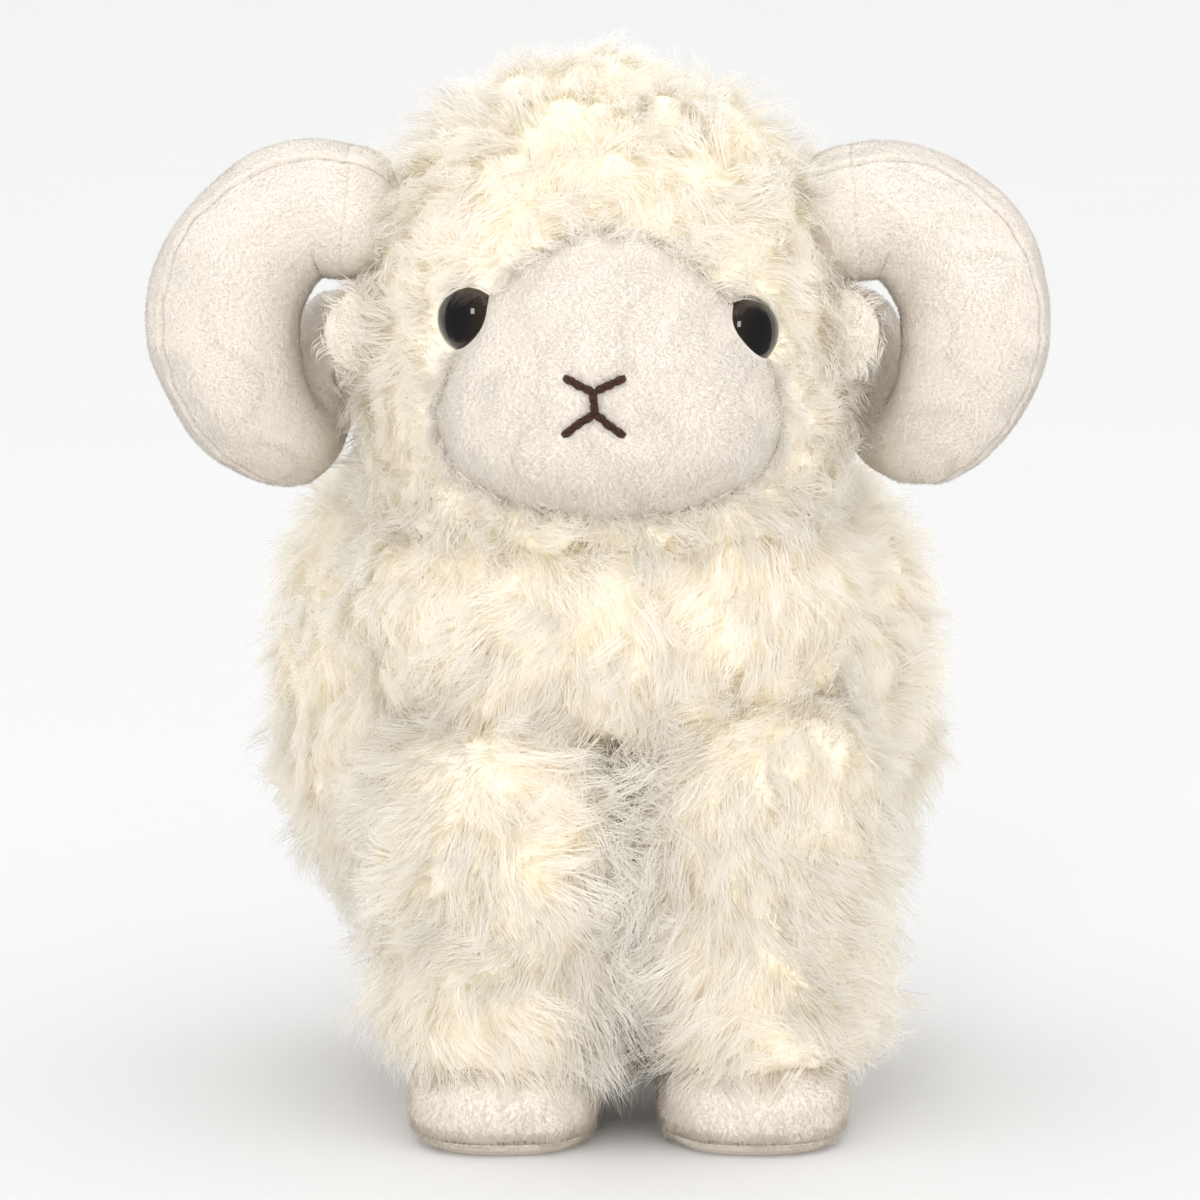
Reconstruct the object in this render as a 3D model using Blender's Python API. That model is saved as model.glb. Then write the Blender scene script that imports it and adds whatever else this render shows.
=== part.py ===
"""A standing plush sheep with curled horns, seen as its sewn and stuffed pieces.

The toy stands on four feet with its face towards -Y. Its covers are closed shells of cloth and
pile with an opening where they are sewn to the next piece, and the stuffing inside them is solid.
Horns, ears and tail turn about the seams that hold them. All lengths are in metres.
"""
import math

import bmesh
import bpy
import numpy as np
from mathutils import Vector

# Clearance that neighbouring pieces keep, and the overrun of a cut
GAP = 0.0003
OVERRUN = 0.004

# Body barrel: half width, half length, half height, place and fullness of its outline
BODY_HALF = (0.0815, 0.0720, 0.0710)
BODY_CENTRE = (0.0010, 0.0140, 0.0930)
BODY_FULLNESS = 2.5
BODY_WALL = 0.0100

# Chest that joins the barrel to the neck
CHEST_HALF = (0.0610, 0.0400, 0.0430)
CHEST_CENTRE = (0.0010, -0.0400, 0.1220)
CHEST_FULLNESS = 2.3

# Head and neck column of curly pile
HEAD_HALF = (0.0560, 0.0430, 0.0590)
HEAD_CENTRE = (0.0005, -0.0420, 0.1900)
HEAD_FULLNESS = 2.2
HEAD_WALL = 0.0080
NECK_RADIUS = 0.0280
HEAD_PROFILE_SHARES = (
    (-1.00, 0.00, 0.00, 0.00),
    (-0.99, 0.55, 0.55, 0.00),
    (-0.90, 0.92, 0.92, 0.00),
    (-0.65, 1.00, 0.98, 0.00),
    (-0.35, 0.99, 1.00, 0.00),
    (0.00, 0.96, 1.00, 0.00),
    (0.30, 0.92, 0.96, 0.00),
    (0.60, 0.77, 0.82, 0.02),
    (0.82, 0.54, 0.58, 0.04),
    (0.96, 0.26, 0.28, 0.05),
    (1.00, 0.00, 0.00, 0.05),
)

# Relief of the wool: how deep it dips between its tufts on body and head, the wave that places
# the dips, the share of a form's width over which they begin at its ends, and how far from a
# seam of horn, ear, eye or tail the wool still lies flat
BODY_RELIEF = 0.0055
HEAD_RELIEF = 0.0040
RELIEF_WAVE = 0.0240
RELIEF_END_SHARE = 0.30
RELIEF_PEAK_SHARE = 1.5
RELIEF_QUIET = 0.0160

# Smooth face panel with its muzzle
FACE_HALF = (0.0390, 0.0275, 0.0330)
FACE_CENTRE = (0.0018, -0.0675, 0.1762)
FACE_FULLNESS = 2.1
FACE_WALL = 0.0030
FACE_PROFILE_SHARES = (
    (-1.00, 0.00, 0.00, 0.00),
    (-0.96, 0.34, 0.36, 0.00),
    (-0.82, 0.68, 0.70, 0.00),
    (-0.58, 0.93, 0.93, 0.00),
    (-0.28, 1.00, 1.00, 0.00),
    (0.05, 0.94, 0.96, -0.02),
    (0.38, 0.80, 0.78, -0.10),
    (0.68, 0.60, 0.52, -0.24),
    (0.90, 0.34, 0.28, -0.38),
    (1.00, 0.00, 0.00, -0.44),
)

# Eyes: dome on a shank, held by a washer behind the cloth
EYE_RADIUS = 0.0080
EYE_HEIGHT = 0.0070
EYE_RIM = 0.0010
EYE_SHANK_RADIUS = 0.0020
EYE_SHANK_LENGTH = 0.0130
EYE_SPREAD = 0.0303
EYE_DEPTH = 0.0735
EYE_LEVEL = 0.1881
EYE_TILT = 0.0014
EYE_TURN = math.radians(48.0)
EYE_STEPS = 6
WASHER_RADIUS = 0.0065
WASHER_THICKNESS = 0.0015
WASHER_SEAT = 0.0068

# Embroidered nose and mouth, as strokes of one thread from the join between the nostril lines
THREAD_RADIUS = 0.0008
MOUTH_JOIN = (-0.0013, 0.1752)
NOSE_SPREAD = 0.0068
NOSE_RISE = 0.0032
PHILTRUM = 0.0048
MOUTH_SPREAD = 0.0070
MOUTH_DROP = 0.0050
THREAD_STEPS = 4
THREAD_AROUND = 6
THREAD_END_SHARE = 0.90

# Horns: a tube that curls round in a level view from the front, then back and up behind the ear
HORN_CENTRE = (0.0612, -0.0450, 0.1850)
HORN_ROUND = (0.0238, 0.0280, 0.0266)
HORN_THICKNESS = 0.0172
HORN_WALL = 0.0025
HORN_COURSE_SHARES = (
    (-0.17, 0.00, 0.98, 0.86),
    (0.25, 0.00, 1.00, 0.89),
    (0.68, 0.00, 0.76, 0.96),
    (0.96, 0.00, 0.32, 1.00),
    (1.00, 0.02, -0.12, 0.98),
    (0.88, 0.08, -0.53, 0.88),
    (0.66, 0.22, -0.84, 0.74),
    (0.44, 0.44, -0.97, 0.65),
    (0.28, 0.70, -0.86, 0.60),
    (0.13, 0.92, -0.50, 0.56),
    (-0.03, 1.00, -0.08, 0.52),
)
HORN_STEPS = 19
HORN_END_STEPS = 3
SOCKET_AROUND = 24

# Ears: a small flap inside each horn's curl
EAR_LENGTH = 0.0125
EAR_HALF_HEIGHT = 0.0120
EAR_THICKNESS = 0.0060
EAR_HINGE_INSET = 0.0015
EAR_FORWARD = 0.0120
EAR_CUP = 0.0018
EAR_STEPS = 8

# Legs: sleeve of shaggy pile, with the stuffed core, and a foot with its sole under it
LEG_HALF = (0.0280, 0.0270, 0.0440)
LEG_HEM = 0.0170
LEG_FULLNESS = 2.4
LEG_WALL = 0.0085
LEG_SPREAD = 0.0287
STANCE_SHIFT = 0.0065
FRONT_LEG_FORWARD = 0.0500
REAR_LEG_BACK = 0.0470
LEG_PROFILE_SHARES = (
    (-1.00, 0.00),
    (-0.995, 0.62),
    (-0.93, 0.86),
    (-0.60, 0.96),
    (-0.10, 1.00),
    (0.40, 0.97),
    (0.75, 0.78),
    (0.94, 0.42),
    (1.00, 0.00),
)
FOOT_HALF = (0.0218, 0.0270, 0.0120)
FOOT_FULLNESS = 2.6
FOOT_CUT_SHARE = 0.70
FOOT_FORWARD = 0.0010
SOLE_THICKNESS = 0.0030
SOLE_PROFILE_SHARES = (
    (0.00, 0.00),
    (0.00, 0.86),
    (0.50, 1.00),
    (1.00, 1.00),
    (1.00, 0.00),
)

# Tail: a short teardrop that hangs on the rump
TAIL_ROOT_RADIUS = 0.0070
TAIL_LENGTH = 0.0300
TAIL_SWELL = 0.0110
TAIL_HEIGHT = 0.1220
TAIL_STEPS = 8
TAIL_ROOT_STEPS = 4
TAIL_LEAN = math.radians(14.0)

# Faces round and along each kind of form
LARGE_AROUND = 28
LARGE_RINGS = 14
BARREL_AROUND = 48
BARREL_RINGS = 22
CHEST_AROUND = 40
CHEST_RINGS = 16
HEAD_AROUND = 40
HEAD_RINGS = 22
INNER_AROUND = 18
INNER_RINGS = 9
LEG_AROUND = 16
LEG_RINGS = 9
CORE_AROUND = 10
SMALL_AROUND = 12
FINE_ROWS = 200

# Colours, in linear light
WOOL = (0.90, 0.86, 0.76)
PLUSH = (0.91, 0.84, 0.76)
FILLING = (0.88, 0.88, 0.87)
EYE_BLACK = (0.008, 0.007, 0.007)
THREAD_BROWN = (0.060, 0.018, 0.010)
WASHER_WHITE = (0.75, 0.75, 0.73)


def clear_scene():
    """Remove every object of the scene that the script starts in."""
    for item in list(bpy.data.objects):
        bpy.data.objects.remove(item, do_unlink=True)


def make_material(name, colour, roughness):
    """A plain material with one colour and one roughness."""
    material = bpy.data.materials.new(name)
    material.use_nodes = True
    shader = material.node_tree.nodes["Principled BSDF"]
    shader.inputs["Base Color"].default_value = (*colour, 1.0)
    shader.inputs["Roughness"].default_value = roughness
    material.diffuse_color = (*colour, 1.0)
    return material


def add_piece(name, shape, material, origin=(0.0, 0.0, 0.0)):
    """An object made from points and faces, with its origin at the given place."""
    points, faces = shape
    mesh = bpy.data.meshes.new(name)
    mesh.from_pydata((np.asarray(points) - np.asarray(origin)).tolist(), [], faces)
    work = bmesh.new()
    work.from_mesh(mesh)
    bmesh.ops.recalc_face_normals(work, faces=work.faces)
    work.to_mesh(mesh)
    work.free()
    mesh.shade_smooth()
    mesh.materials.append(material)
    piece = bpy.data.objects.new(name, mesh)
    piece.location = origin
    bpy.context.scene.collection.objects.link(piece)
    return piece


def add_cutter(name, shape):
    """A guide that only cuts or joins, left out of the model itself."""
    guide = add_piece(name, shape, bpy.data.materials["guide"])
    guide.hide_render = True
    guide.display_type = "WIRE"
    return guide


def use_boolean(piece, operation, guides):
    """Add one exact Boolean to the piece for each guide."""
    for guide in guides:
        modifier = piece.modifiers.new(operation.lower() + "_" + guide.name, "BOOLEAN")
        modifier.operation = operation
        modifier.object = guide
        modifier.solver = "EXACT"


def cut(piece, *guides):
    """Take the guides' space out of the piece."""
    use_boolean(piece, "DIFFERENCE", guides)


def fuse(piece, *guides):
    """Join the guides' space to the piece."""
    use_boolean(piece, "UNION", guides)


def smooth_rows(rows, count):
    """Rows read at even steps from a Catmull-Rom curve through the given rows."""
    rows = np.asarray(rows, dtype=float)
    padded = np.vstack([2 * rows[0] - rows[1], rows, 2 * rows[-1] - rows[-2]])
    steps = np.linspace(0, len(rows) - 1, count)
    index = np.minimum(steps.astype(int), len(rows) - 2)
    part = (steps - index)[:, None]
    before, start, end, after = (padded[index + shift] for shift in range(4))
    return 0.5 * (
        2 * start
        + (end - before) * part
        + (2 * before - 5 * start + 4 * end - after) * part**2
        + (3 * start - before - 3 * end + after) * part**3
    )


def round_rows(count, fullness):
    """Profile shares of a closed round form, as (height, width, depth, shift)."""
    angle = np.linspace(-math.pi / 2, math.pi / 2, count)
    height = np.sign(np.sin(angle)) * np.abs(np.sin(angle)) ** (2 / fullness)
    width = np.abs(np.cos(angle)) ** (2 / fullness)
    return np.column_stack([height, width, width, np.zeros(count)])


def skin_rings(rings, split=False):
    """Points and faces of a closed form whose first and last ring are single points.

    A split form has triangles only, so that the same form grown a little is folded alike.
    """
    count, around = len(rings), len(rings[0])
    middle = rings[1:-1].reshape(-1, 3)
    points = np.vstack([rings[0].mean(axis=0), middle, rings[-1].mean(axis=0)])
    last = len(points) - 1
    faces = []
    for side in range(around):
        other = (side + 1) % around
        faces.append((0, 1 + other, 1 + side))
        for ring in range(count - 3):
            low, high = 1 + ring * around, 1 + (ring + 1) * around
            if split:
                faces.append((low + side, low + other, high + other))
                faces.append((low + side, high + other, high + side))
            else:
                faces.append((low + side, low + other, high + other, high + side))
        top = 1 + (count - 3) * around
        faces.append((top + side, top + other, last))
    return points, faces


def outline(around, fullness):
    """Unit outline of a ring: a circle that fullness draws towards a square."""
    angle = np.arange(around) * 2 * math.pi / around
    across = np.sign(np.cos(angle)) * np.abs(np.cos(angle)) ** (2 / fullness)
    along = np.sign(np.sin(angle)) * np.abs(np.sin(angle)) ** (2 / fullness)
    return np.column_stack([across, along])


def form_rings(rows, centre, half, fullness, around):
    """Level rings round an upright axis, from a form's profile shares."""
    unit = outline(around, fullness)
    rows = np.asarray(rows)
    rings = np.zeros((len(rows), around, 3))
    rings[:, :, 0] = centre[0] + half[0] * rows[:, 1, None] * unit[None, :, 0]
    rings[:, :, 1] = centre[1] + half[1] * (rows[:, 2, None] * unit[None, :, 1] + rows[:, 3, None])
    rings[:, :, 2] = centre[2] + half[2] * rows[:, 0, None]
    return rings


def round_form(rows, centre, half, fullness, around, grow=0.0):
    """A form of level rings round an upright axis, grown outwards by grow on every side."""
    return skin_rings(form_rings(rows, centre, np.asarray(half) + grow, fullness, around))


def sewn_places():
    """The seams of tail, eyes, horns and ears, round which the wool lies flat."""
    root = np.array(tail_root())
    places = [root, root - [0.0, 0.0, TAIL_LENGTH]]
    for side in (-1, 1):
        places += [eye_place(side)[0], horn_root(side), ear_root(side)]
    return np.array(places)


def dip_share(points):
    """How far the wool dips at each point: none on a tuft or by a seam, one deep between tufts.

    Sines and cosines of the three coordinates, multiplied in turn, set tufts one wave apart.
    """
    turn = points * 2 * math.pi / RELIEF_WAVE
    swell = (np.sin(turn) * np.cos(np.roll(turn, -1, axis=-1))).sum(axis=-1)
    dip = 0.5 - 0.5 * swell / RELIEF_PEAK_SHARE
    away = np.linalg.norm(points[..., None, :] - sewn_places(), axis=-1).min(axis=-1)
    return dip * np.clip(away / RELIEF_QUIET - 1, 0, 1)


def woolly_form(rows, centre, half, fullness, around, grow, depth):
    """A round form that dips towards its centre between the tufts, the same dips at any growth."""
    rings = form_rings(rows, centre, half, fullness, around)
    inwards = np.array(centre) - rings
    inwards /= np.linalg.norm(inwards, axis=-1)[..., None]
    begin = np.clip(np.asarray(rows)[:, 1] / RELIEF_END_SHARE, 0, 1)
    dips = depth * begin[:, None] * dip_share(rings)
    grown = form_rings(rows, centre, np.asarray(half) + grow, fullness, around)
    return skin_rings(grown + dips[..., None] * inwards, True)


def barrel_shape(grow=0.0):
    """The round barrel of the body, with its wool's relief."""
    rows = round_rows(BARREL_RINGS, BODY_FULLNESS)
    place = (BODY_CENTRE, BODY_HALF, BODY_FULLNESS)
    return woolly_form(rows, *place, BARREL_AROUND, grow, BODY_RELIEF)


def barrel_core(grow):
    """The smooth form under the barrel's wool."""
    rows = round_rows(INNER_RINGS, BODY_FULLNESS)
    return round_form(rows, BODY_CENTRE, BODY_HALF, BODY_FULLNESS, INNER_AROUND, grow)


def chest_shape(grow=0.0):
    """The chest that rises from the barrel's front to the neck, with its wool's relief."""
    rows = round_rows(CHEST_RINGS, CHEST_FULLNESS)
    place = (CHEST_CENTRE, CHEST_HALF, CHEST_FULLNESS)
    return woolly_form(rows, *place, CHEST_AROUND, grow, BODY_RELIEF)


def chest_core(grow):
    """The smooth form under the chest's wool."""
    rows = round_rows(INNER_RINGS, CHEST_FULLNESS)
    return round_form(rows, CHEST_CENTRE, CHEST_HALF, CHEST_FULLNESS, INNER_AROUND, grow)


def head_shape():
    """The head and neck column, with its wool's relief."""
    rows = smooth_rows(HEAD_PROFILE_SHARES, HEAD_RINGS)
    place = (HEAD_CENTRE, HEAD_HALF, HEAD_FULLNESS)
    return woolly_form(rows, *place, HEAD_AROUND, 0.0, HEAD_RELIEF)


def head_core(grow):
    """The smooth form under the head's wool."""
    rows = smooth_rows(HEAD_PROFILE_SHARES, INNER_RINGS)
    return round_form(rows, HEAD_CENTRE, HEAD_HALF, HEAD_FULLNESS, INNER_AROUND, grow)


def face_shape(grow=0.0, inner=False):
    """The smooth face with its muzzle."""
    around, count = (INNER_AROUND, INNER_RINGS) if inner else (LARGE_AROUND, LARGE_RINGS)
    rows = smooth_rows(FACE_PROFILE_SHARES, count)
    return round_form(rows, FACE_CENTRE, FACE_HALF, FACE_FULLNESS, around, grow)


def face_front(across, height):
    """Depth of the face's front surface at a place across and up."""
    rows = smooth_rows(FACE_PROFILE_SHARES, FINE_ROWS)
    share = (height - FACE_CENTRE[2]) / FACE_HALF[2]
    width, depth, shift = (np.interp(share, rows[:, 0], rows[:, column]) for column in (1, 2, 3))
    side = np.abs(across - FACE_CENTRE[0]) / (FACE_HALF[0] * width)
    bulge = depth * (1 - side**FACE_FULLNESS) ** (1 / FACE_FULLNESS)
    return FACE_CENTRE[1] + FACE_HALF[1] * (shift - bulge)


def turned_shape(profile, centre, direction, around):
    """A profile of (distance along, radius) turned round a direction, closed at both ends."""
    axis = Vector(direction).normalized()
    side = axis.orthogonal().normalized()
    up = axis.cross(side)
    unit = outline(around, 2.0)
    spread = unit[:, :1] * np.array(side) + unit[:, 1:] * np.array(up)
    rings = [
        np.array(centre) + along * np.array(axis) + radius * spread for along, radius in profile
    ]
    return skin_rings(np.array(rings))


def tangents(path):
    """Unit direction of a path at each of its points."""
    along = np.gradient(path, axis=0)
    return along / np.linalg.norm(along, axis=1)[:, None]


def tube_shape(path, tangent, radii, around):
    """A tube along a path, closed at both ends, whose rings turn no more than the path does."""
    side = np.array([0.0, 1.0, 0.0])
    unit = outline(around, 2.0)
    rings = []
    for place, radius, onward in zip(path, radii, tangent):
        side = side - np.dot(side, onward) * onward
        side /= np.linalg.norm(side)
        up = np.cross(onward, side)
        rings.append(place + radius * (unit[:, :1] * side + unit[:, 1:] * up))
    return skin_rings(np.array(rings))


def eye_place(side):
    """Centre of an eye's base and the direction in which it looks."""
    centre = (
        FACE_CENTRE[0] + side * EYE_SPREAD,
        -EYE_DEPTH,
        EYE_LEVEL - side * EYE_TILT,
    )
    return centre, (side * math.sin(EYE_TURN), -math.cos(EYE_TURN), 0.0)


def eye_shape(side, grow=0.0, washer=False):
    """Dome, rim and shank of one eye, turned about its own axis, with its washer if asked for."""
    centre, look = eye_place(side)
    angle = np.linspace(0, math.pi / 2, EYE_STEPS)
    dome = [
        ((EYE_HEIGHT + grow) * math.cos(a), (EYE_RADIUS + grow) * math.sin(a)) for a in angle
    ]
    back = -EYE_RIM - grow
    shank = EYE_SHANK_RADIUS + grow
    end = -EYE_SHANK_LENGTH - grow
    collar = []
    if washer:
        near, far = washer_faces(grow)
        disc = WASHER_RADIUS + grow
        collar = [(near, shank), (near, disc), (far, disc), (far, shank)]
    stem = [(back, EYE_RADIUS + grow), (back, shank), *collar, (end, shank), (end, 0.0)]
    return turned_shape(dome + stem, centre, look, SMALL_AROUND)


def washer_faces(grow=0.0):
    """How far along the eye's axis the washer's two faces lie."""
    return -WASHER_SEAT + grow, -WASHER_SEAT - WASHER_THICKNESS - grow


def washer_shape(side):
    """The locking washer that grips an eye's shank, as a disc without its bore."""
    centre, look = eye_place(side)
    near, far = washer_faces()
    profile = [(near, 0.0), (near, WASHER_RADIUS), (far, WASHER_RADIUS), (far, 0.0)]
    return turned_shape(profile, centre, look, SMALL_AROUND)


def stroke_shape(start, end):
    """One embroidered stroke that lies on the face between two places across and up."""
    across = np.linspace(start[0], end[0], THREAD_STEPS)
    height = np.linspace(start[1], end[1], THREAD_STEPS)
    depth = face_front(across, height) - THREAD_RADIUS - GAP
    path = np.column_stack([across, depth, height])
    step = THREAD_RADIUS * (path[-1] - path[0]) / np.linalg.norm(path[-1] - path[0])
    path = np.vstack([path[0] - step, path, path[-1] + step])
    radii = np.full(len(path), THREAD_RADIUS)
    radii[[0, -1]] = 0.0
    radii[[1, -2]] *= THREAD_END_SHARE
    return tube_shape(path, tangents(path), radii, THREAD_AROUND)


def horn_course(side):
    """Path, directions and radii of a horn's tube, from its root in the head to its tip."""
    rows = smooth_rows(HORN_COURSE_SHARES, HORN_STEPS)
    path = (np.array(HORN_CENTRE) + rows[:, :3] * HORN_ROUND) * [side, 1, 1]
    return path, tangents(path), HORN_THICKNESS * rows[:, 3]


def horn_root(side):
    """The point that a horn turns about: the middle of its rounded root."""
    return tuple(float(value) for value in horn_course(side)[0][0])


def horn_shape(side, grow=0.0, wall=0.0, open_root=False):
    """One horn's tube, with its root rounded about the point it turns on and a rounded tip.

    A wall makes the tube that fits inside the cover, and an open root carries it straight on.
    """
    path, along, radii = horn_course(side)
    ball = radii[0] + grow
    radii = radii + grow - wall
    if open_root:
        back = ball + np.array([2 * OVERRUN, OVERRUN])
        end_radii = np.array([0.0, radii[0]])
    else:
        widest = math.asin(min(radii[0] / ball, 1.0))
        angle = np.linspace(0, widest, HORN_END_STEPS + 1)
        angle = angle[:-1] if wall == 0 else angle
        back = ball * np.cos(angle)
        end_radii = ball * np.sin(angle)
    start = path[0] - back[:, None] * along[0]
    turn = np.linspace(0, math.pi / 2, HORN_END_STEPS)[1:]
    finish = path[-1] + radii[-1] * np.sin(turn)[:, None] * along[-1]
    along = np.vstack([np.tile(along[0], (len(back), 1)), along, np.tile(along[-1], (len(turn), 1))])
    path = np.vstack([start, path, finish])
    radii = np.concatenate([end_radii, radii, radii[-1] * np.cos(turn)])
    return tube_shape(path, along, radii, CORE_AROUND if wall else SMALL_AROUND)


def socket_shape(side):
    """The ball that a horn's rounded root turns in, so large that its flats stay clear of the root."""
    flat = math.cos(math.pi / SOCKET_AROUND)
    radius = (horn_course(side)[2][0] + GAP) / flat**2
    angle = np.linspace(0, math.pi, SOCKET_AROUND // 2 + 1)
    profile = [(radius * math.cos(a), radius * math.sin(a)) for a in angle]
    return turned_shape(profile, horn_root(side), (side, 0.0, 0.0), SOCKET_AROUND)


def head_side(depth, height):
    """Half width of the head column at a depth and a height."""
    rows = smooth_rows(HEAD_PROFILE_SHARES, FINE_ROWS)
    share = (height - HEAD_CENTRE[2]) / HEAD_HALF[2]
    width, length = (np.interp(share, rows[:, 0], rows[:, column]) for column in (1, 2))
    away = abs(depth - HEAD_CENTRE[1]) / (HEAD_HALF[1] * length)
    return HEAD_HALF[0] * width * (1 - away**HEAD_FULLNESS) ** (1 / HEAD_FULLNESS)


def ear_root(side):
    """The middle of the seam that an ear turns about."""
    depth = HEAD_CENTRE[1] - EAR_FORWARD
    height = HORN_CENTRE[2]
    reach = head_side(depth, height) + GAP + EAR_HINGE_INSET
    return (HEAD_CENTRE[0] + side * reach, depth, height)


def ear_shape(side):
    """A small cupped flap, thickest at its seam and rounded at its edge."""
    root = np.array(ear_root(side))
    height = np.sin(np.linspace(-math.pi / 2, math.pi / 2, EAR_STEPS + 1))
    width = np.sqrt(1 - height**2)
    angle = np.linspace(0, 2 * math.pi, SMALL_AROUND, endpoint=False)
    out = 0.5 * (1 - np.cos(angle))
    thick = 0.5 * np.sin(angle)
    rings = np.zeros((len(height), SMALL_AROUND, 3))
    reach = EAR_LENGTH * width[:, None] * out[None, :]
    rings[:, :, 0] = root[0] + side * (reach - EAR_HINGE_INSET * width[:, None])
    cup = EAR_CUP * (out[None, :] * width[:, None]) ** 2
    rings[:, :, 1] = root[1] - cup + EAR_THICKNESS * width[:, None] * thick[None, :]
    rings[:, :, 2] = root[2] + EAR_HALF_HEIGHT * height[:, None]
    return skin_rings(rings)


def leg_centre(side, front):
    """Place of the middle of a leg's sleeve."""
    depth = -FRONT_LEG_FORWARD if front else REAR_LEG_BACK
    return (STANCE_SHIFT + side * LEG_SPREAD, depth, LEG_HEM + LEG_HALF[2])


def leg_shape(side, front, grow=0.0, core=False):
    """A leg's sleeve or its stuffed core, round and closed at both ends."""
    shares = np.array(LEG_PROFILE_SHARES)[:, (0, 1, 1)]
    rows = smooth_rows(np.column_stack([shares, np.zeros(len(shares))]), LEG_RINGS)
    around = CORE_AROUND if core else LEG_AROUND
    half = np.array(LEG_HALF)
    if core:
        half = half - [LEG_WALL, LEG_WALL, -OVERRUN]
    return round_form(rows, leg_centre(side, front), half, LEG_FULLNESS, around, grow)


def foot_rows():
    """Profile shares of a foot whose lower end is cut off level."""
    rows = round_rows(LEG_RINGS, FOOT_FULLNESS)
    rows = rows[rows[:, 0] > -FOOT_CUT_SHARE]
    return np.vstack([[rows[0, 0], 0, 0, 0], rows])


def foot_shape(side, front, grow=0.0):
    """A foot, level where its sole is sewn on."""
    place = leg_centre(side, front)
    rows = foot_rows()
    middle = SOLE_THICKNESS + GAP - rows[0, 0] * FOOT_HALF[2]
    centre = (place[0], place[1] - FOOT_FORWARD, middle)
    return round_form(rows, centre, FOOT_HALF, FOOT_FULLNESS, LEG_AROUND, grow)


def sole_shape(side, front):
    """A sole with a level underside and a rounded edge."""
    place = leg_centre(side, front)
    edge = foot_rows()[1, 1]
    rows = [(height, edge * width, edge * width, 0.0) for height, width in SOLE_PROFILE_SHARES]
    half = (FOOT_HALF[0], FOOT_HALF[1], SOLE_THICKNESS)
    centre = (place[0], place[1] - FOOT_FORWARD, 0.0)
    return round_form(rows, centre, half, FOOT_FULLNESS, LEG_AROUND)


def body_back(height):
    """Depth of the barrel's rear surface at a height, on its middle line."""
    share = abs(height - BODY_CENTRE[2]) / BODY_HALF[2]
    return BODY_CENTRE[1] + BODY_HALF[1] * (1 - share**BODY_FULLNESS) ** (1 / BODY_FULLNESS)


def tail_root():
    """The point that the tail turns about: the middle of its rounded root."""
    return (BODY_CENTRE[0], body_back(TAIL_HEIGHT), TAIL_HEIGHT)


def tail_shape(root_only=False, grow=0.0):
    """The tail: a ball about its root that swells into a hanging teardrop."""
    root = tail_root()
    down = (0.0, math.sin(TAIL_LEAN), -math.cos(TAIL_LEAN))
    ball = TAIL_ROOT_RADIUS + grow
    angle = np.linspace(0, math.pi / 2, TAIL_ROOT_STEPS)
    start = [(-ball * math.cos(a), ball * math.sin(a)) for a in angle]
    if root_only:
        end = [(-along, radius) for along, radius in reversed(start[:-1])]
        return turned_shape(start + end, root, down, SMALL_AROUND)
    share = np.linspace(0, 1, TAIL_STEPS)[1:]
    swell = TAIL_ROOT_RADIUS + (TAIL_SWELL - TAIL_ROOT_RADIUS) * np.sin(share * math.pi / 2)
    radii = swell * np.sqrt(1 - share**4)
    return turned_shape(
        start + list(zip(TAIL_LENGTH * share, radii)), root, down, SMALL_AROUND
    )


def neck_shape(grow=0.0):
    """The round plug of stuffing that passes from the head into the body."""
    low = CHEST_CENTRE[2]
    high = HEAD_CENTRE[2]
    radius = NECK_RADIUS + grow
    profile = [(0.0, 0.0), (0.0, radius), (high - low, radius), (high - low, 0.0)]
    base = (HEAD_CENTRE[0], HEAD_CENTRE[1], low)
    return turned_shape(profile, base, (0.0, 0.0, 1.0), INNER_AROUND)


def build_guides():
    """Cutters that more than one piece uses."""
    guides = {
        "barrel": add_cutter("guide_barrel", barrel_shape(GAP)),
        "chest": add_cutter("guide_chest", chest_shape(GAP)),
        "barrel_hollow": add_cutter("guide_barrel_hollow", barrel_core(-BODY_WALL)),
        "chest_hollow": add_cutter("guide_chest_hollow", chest_core(-BODY_WALL)),
        "head_hollow": add_cutter("guide_head_hollow", head_core(-HEAD_WALL)),
        "face": add_cutter("guide_face", face_shape(GAP)),
        "face_hollow": add_cutter("guide_face_hollow", face_shape(-FACE_WALL, True)),
        "neck": add_cutter("guide_neck", neck_shape(GAP)),
        "neck_plug": add_cutter("guide_neck_plug", neck_shape()),
        "tail": add_cutter("guide_tail", tail_shape(True, GAP)),
        "eyes": [],
        "sockets": [],
        "horn_roots": [],
    }
    for side, word in ((-1, "left"), (1, "right")):
        guides["eyes"].append(add_cutter("guide_eye_" + word, eye_shape(side, GAP)))
        guides["sockets"].append(add_cutter("guide_socket_" + word, eye_shape(side, GAP, True)))
        guides["horn_roots"].append(add_cutter("guide_horn_root_" + word, socket_shape(side)))
    return guides


def build_body(guides, wool, filling):
    """The body's cover, open at the neck, and the stuffing in it."""
    cover = add_piece("body_cover", barrel_shape(), wool)
    fuse(cover, add_cutter("guide_chest_cover", chest_shape()))
    cut(cover, guides["barrel_hollow"], guides["chest_hollow"], guides["neck"], guides["tail"])
    stuffing = add_piece("body_stuffing", barrel_core(-BODY_WALL - GAP), filling)
    fuse(stuffing, add_cutter("guide_chest_stuffing", chest_core(-BODY_WALL - GAP)))
    cut(stuffing, guides["neck"])


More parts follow.
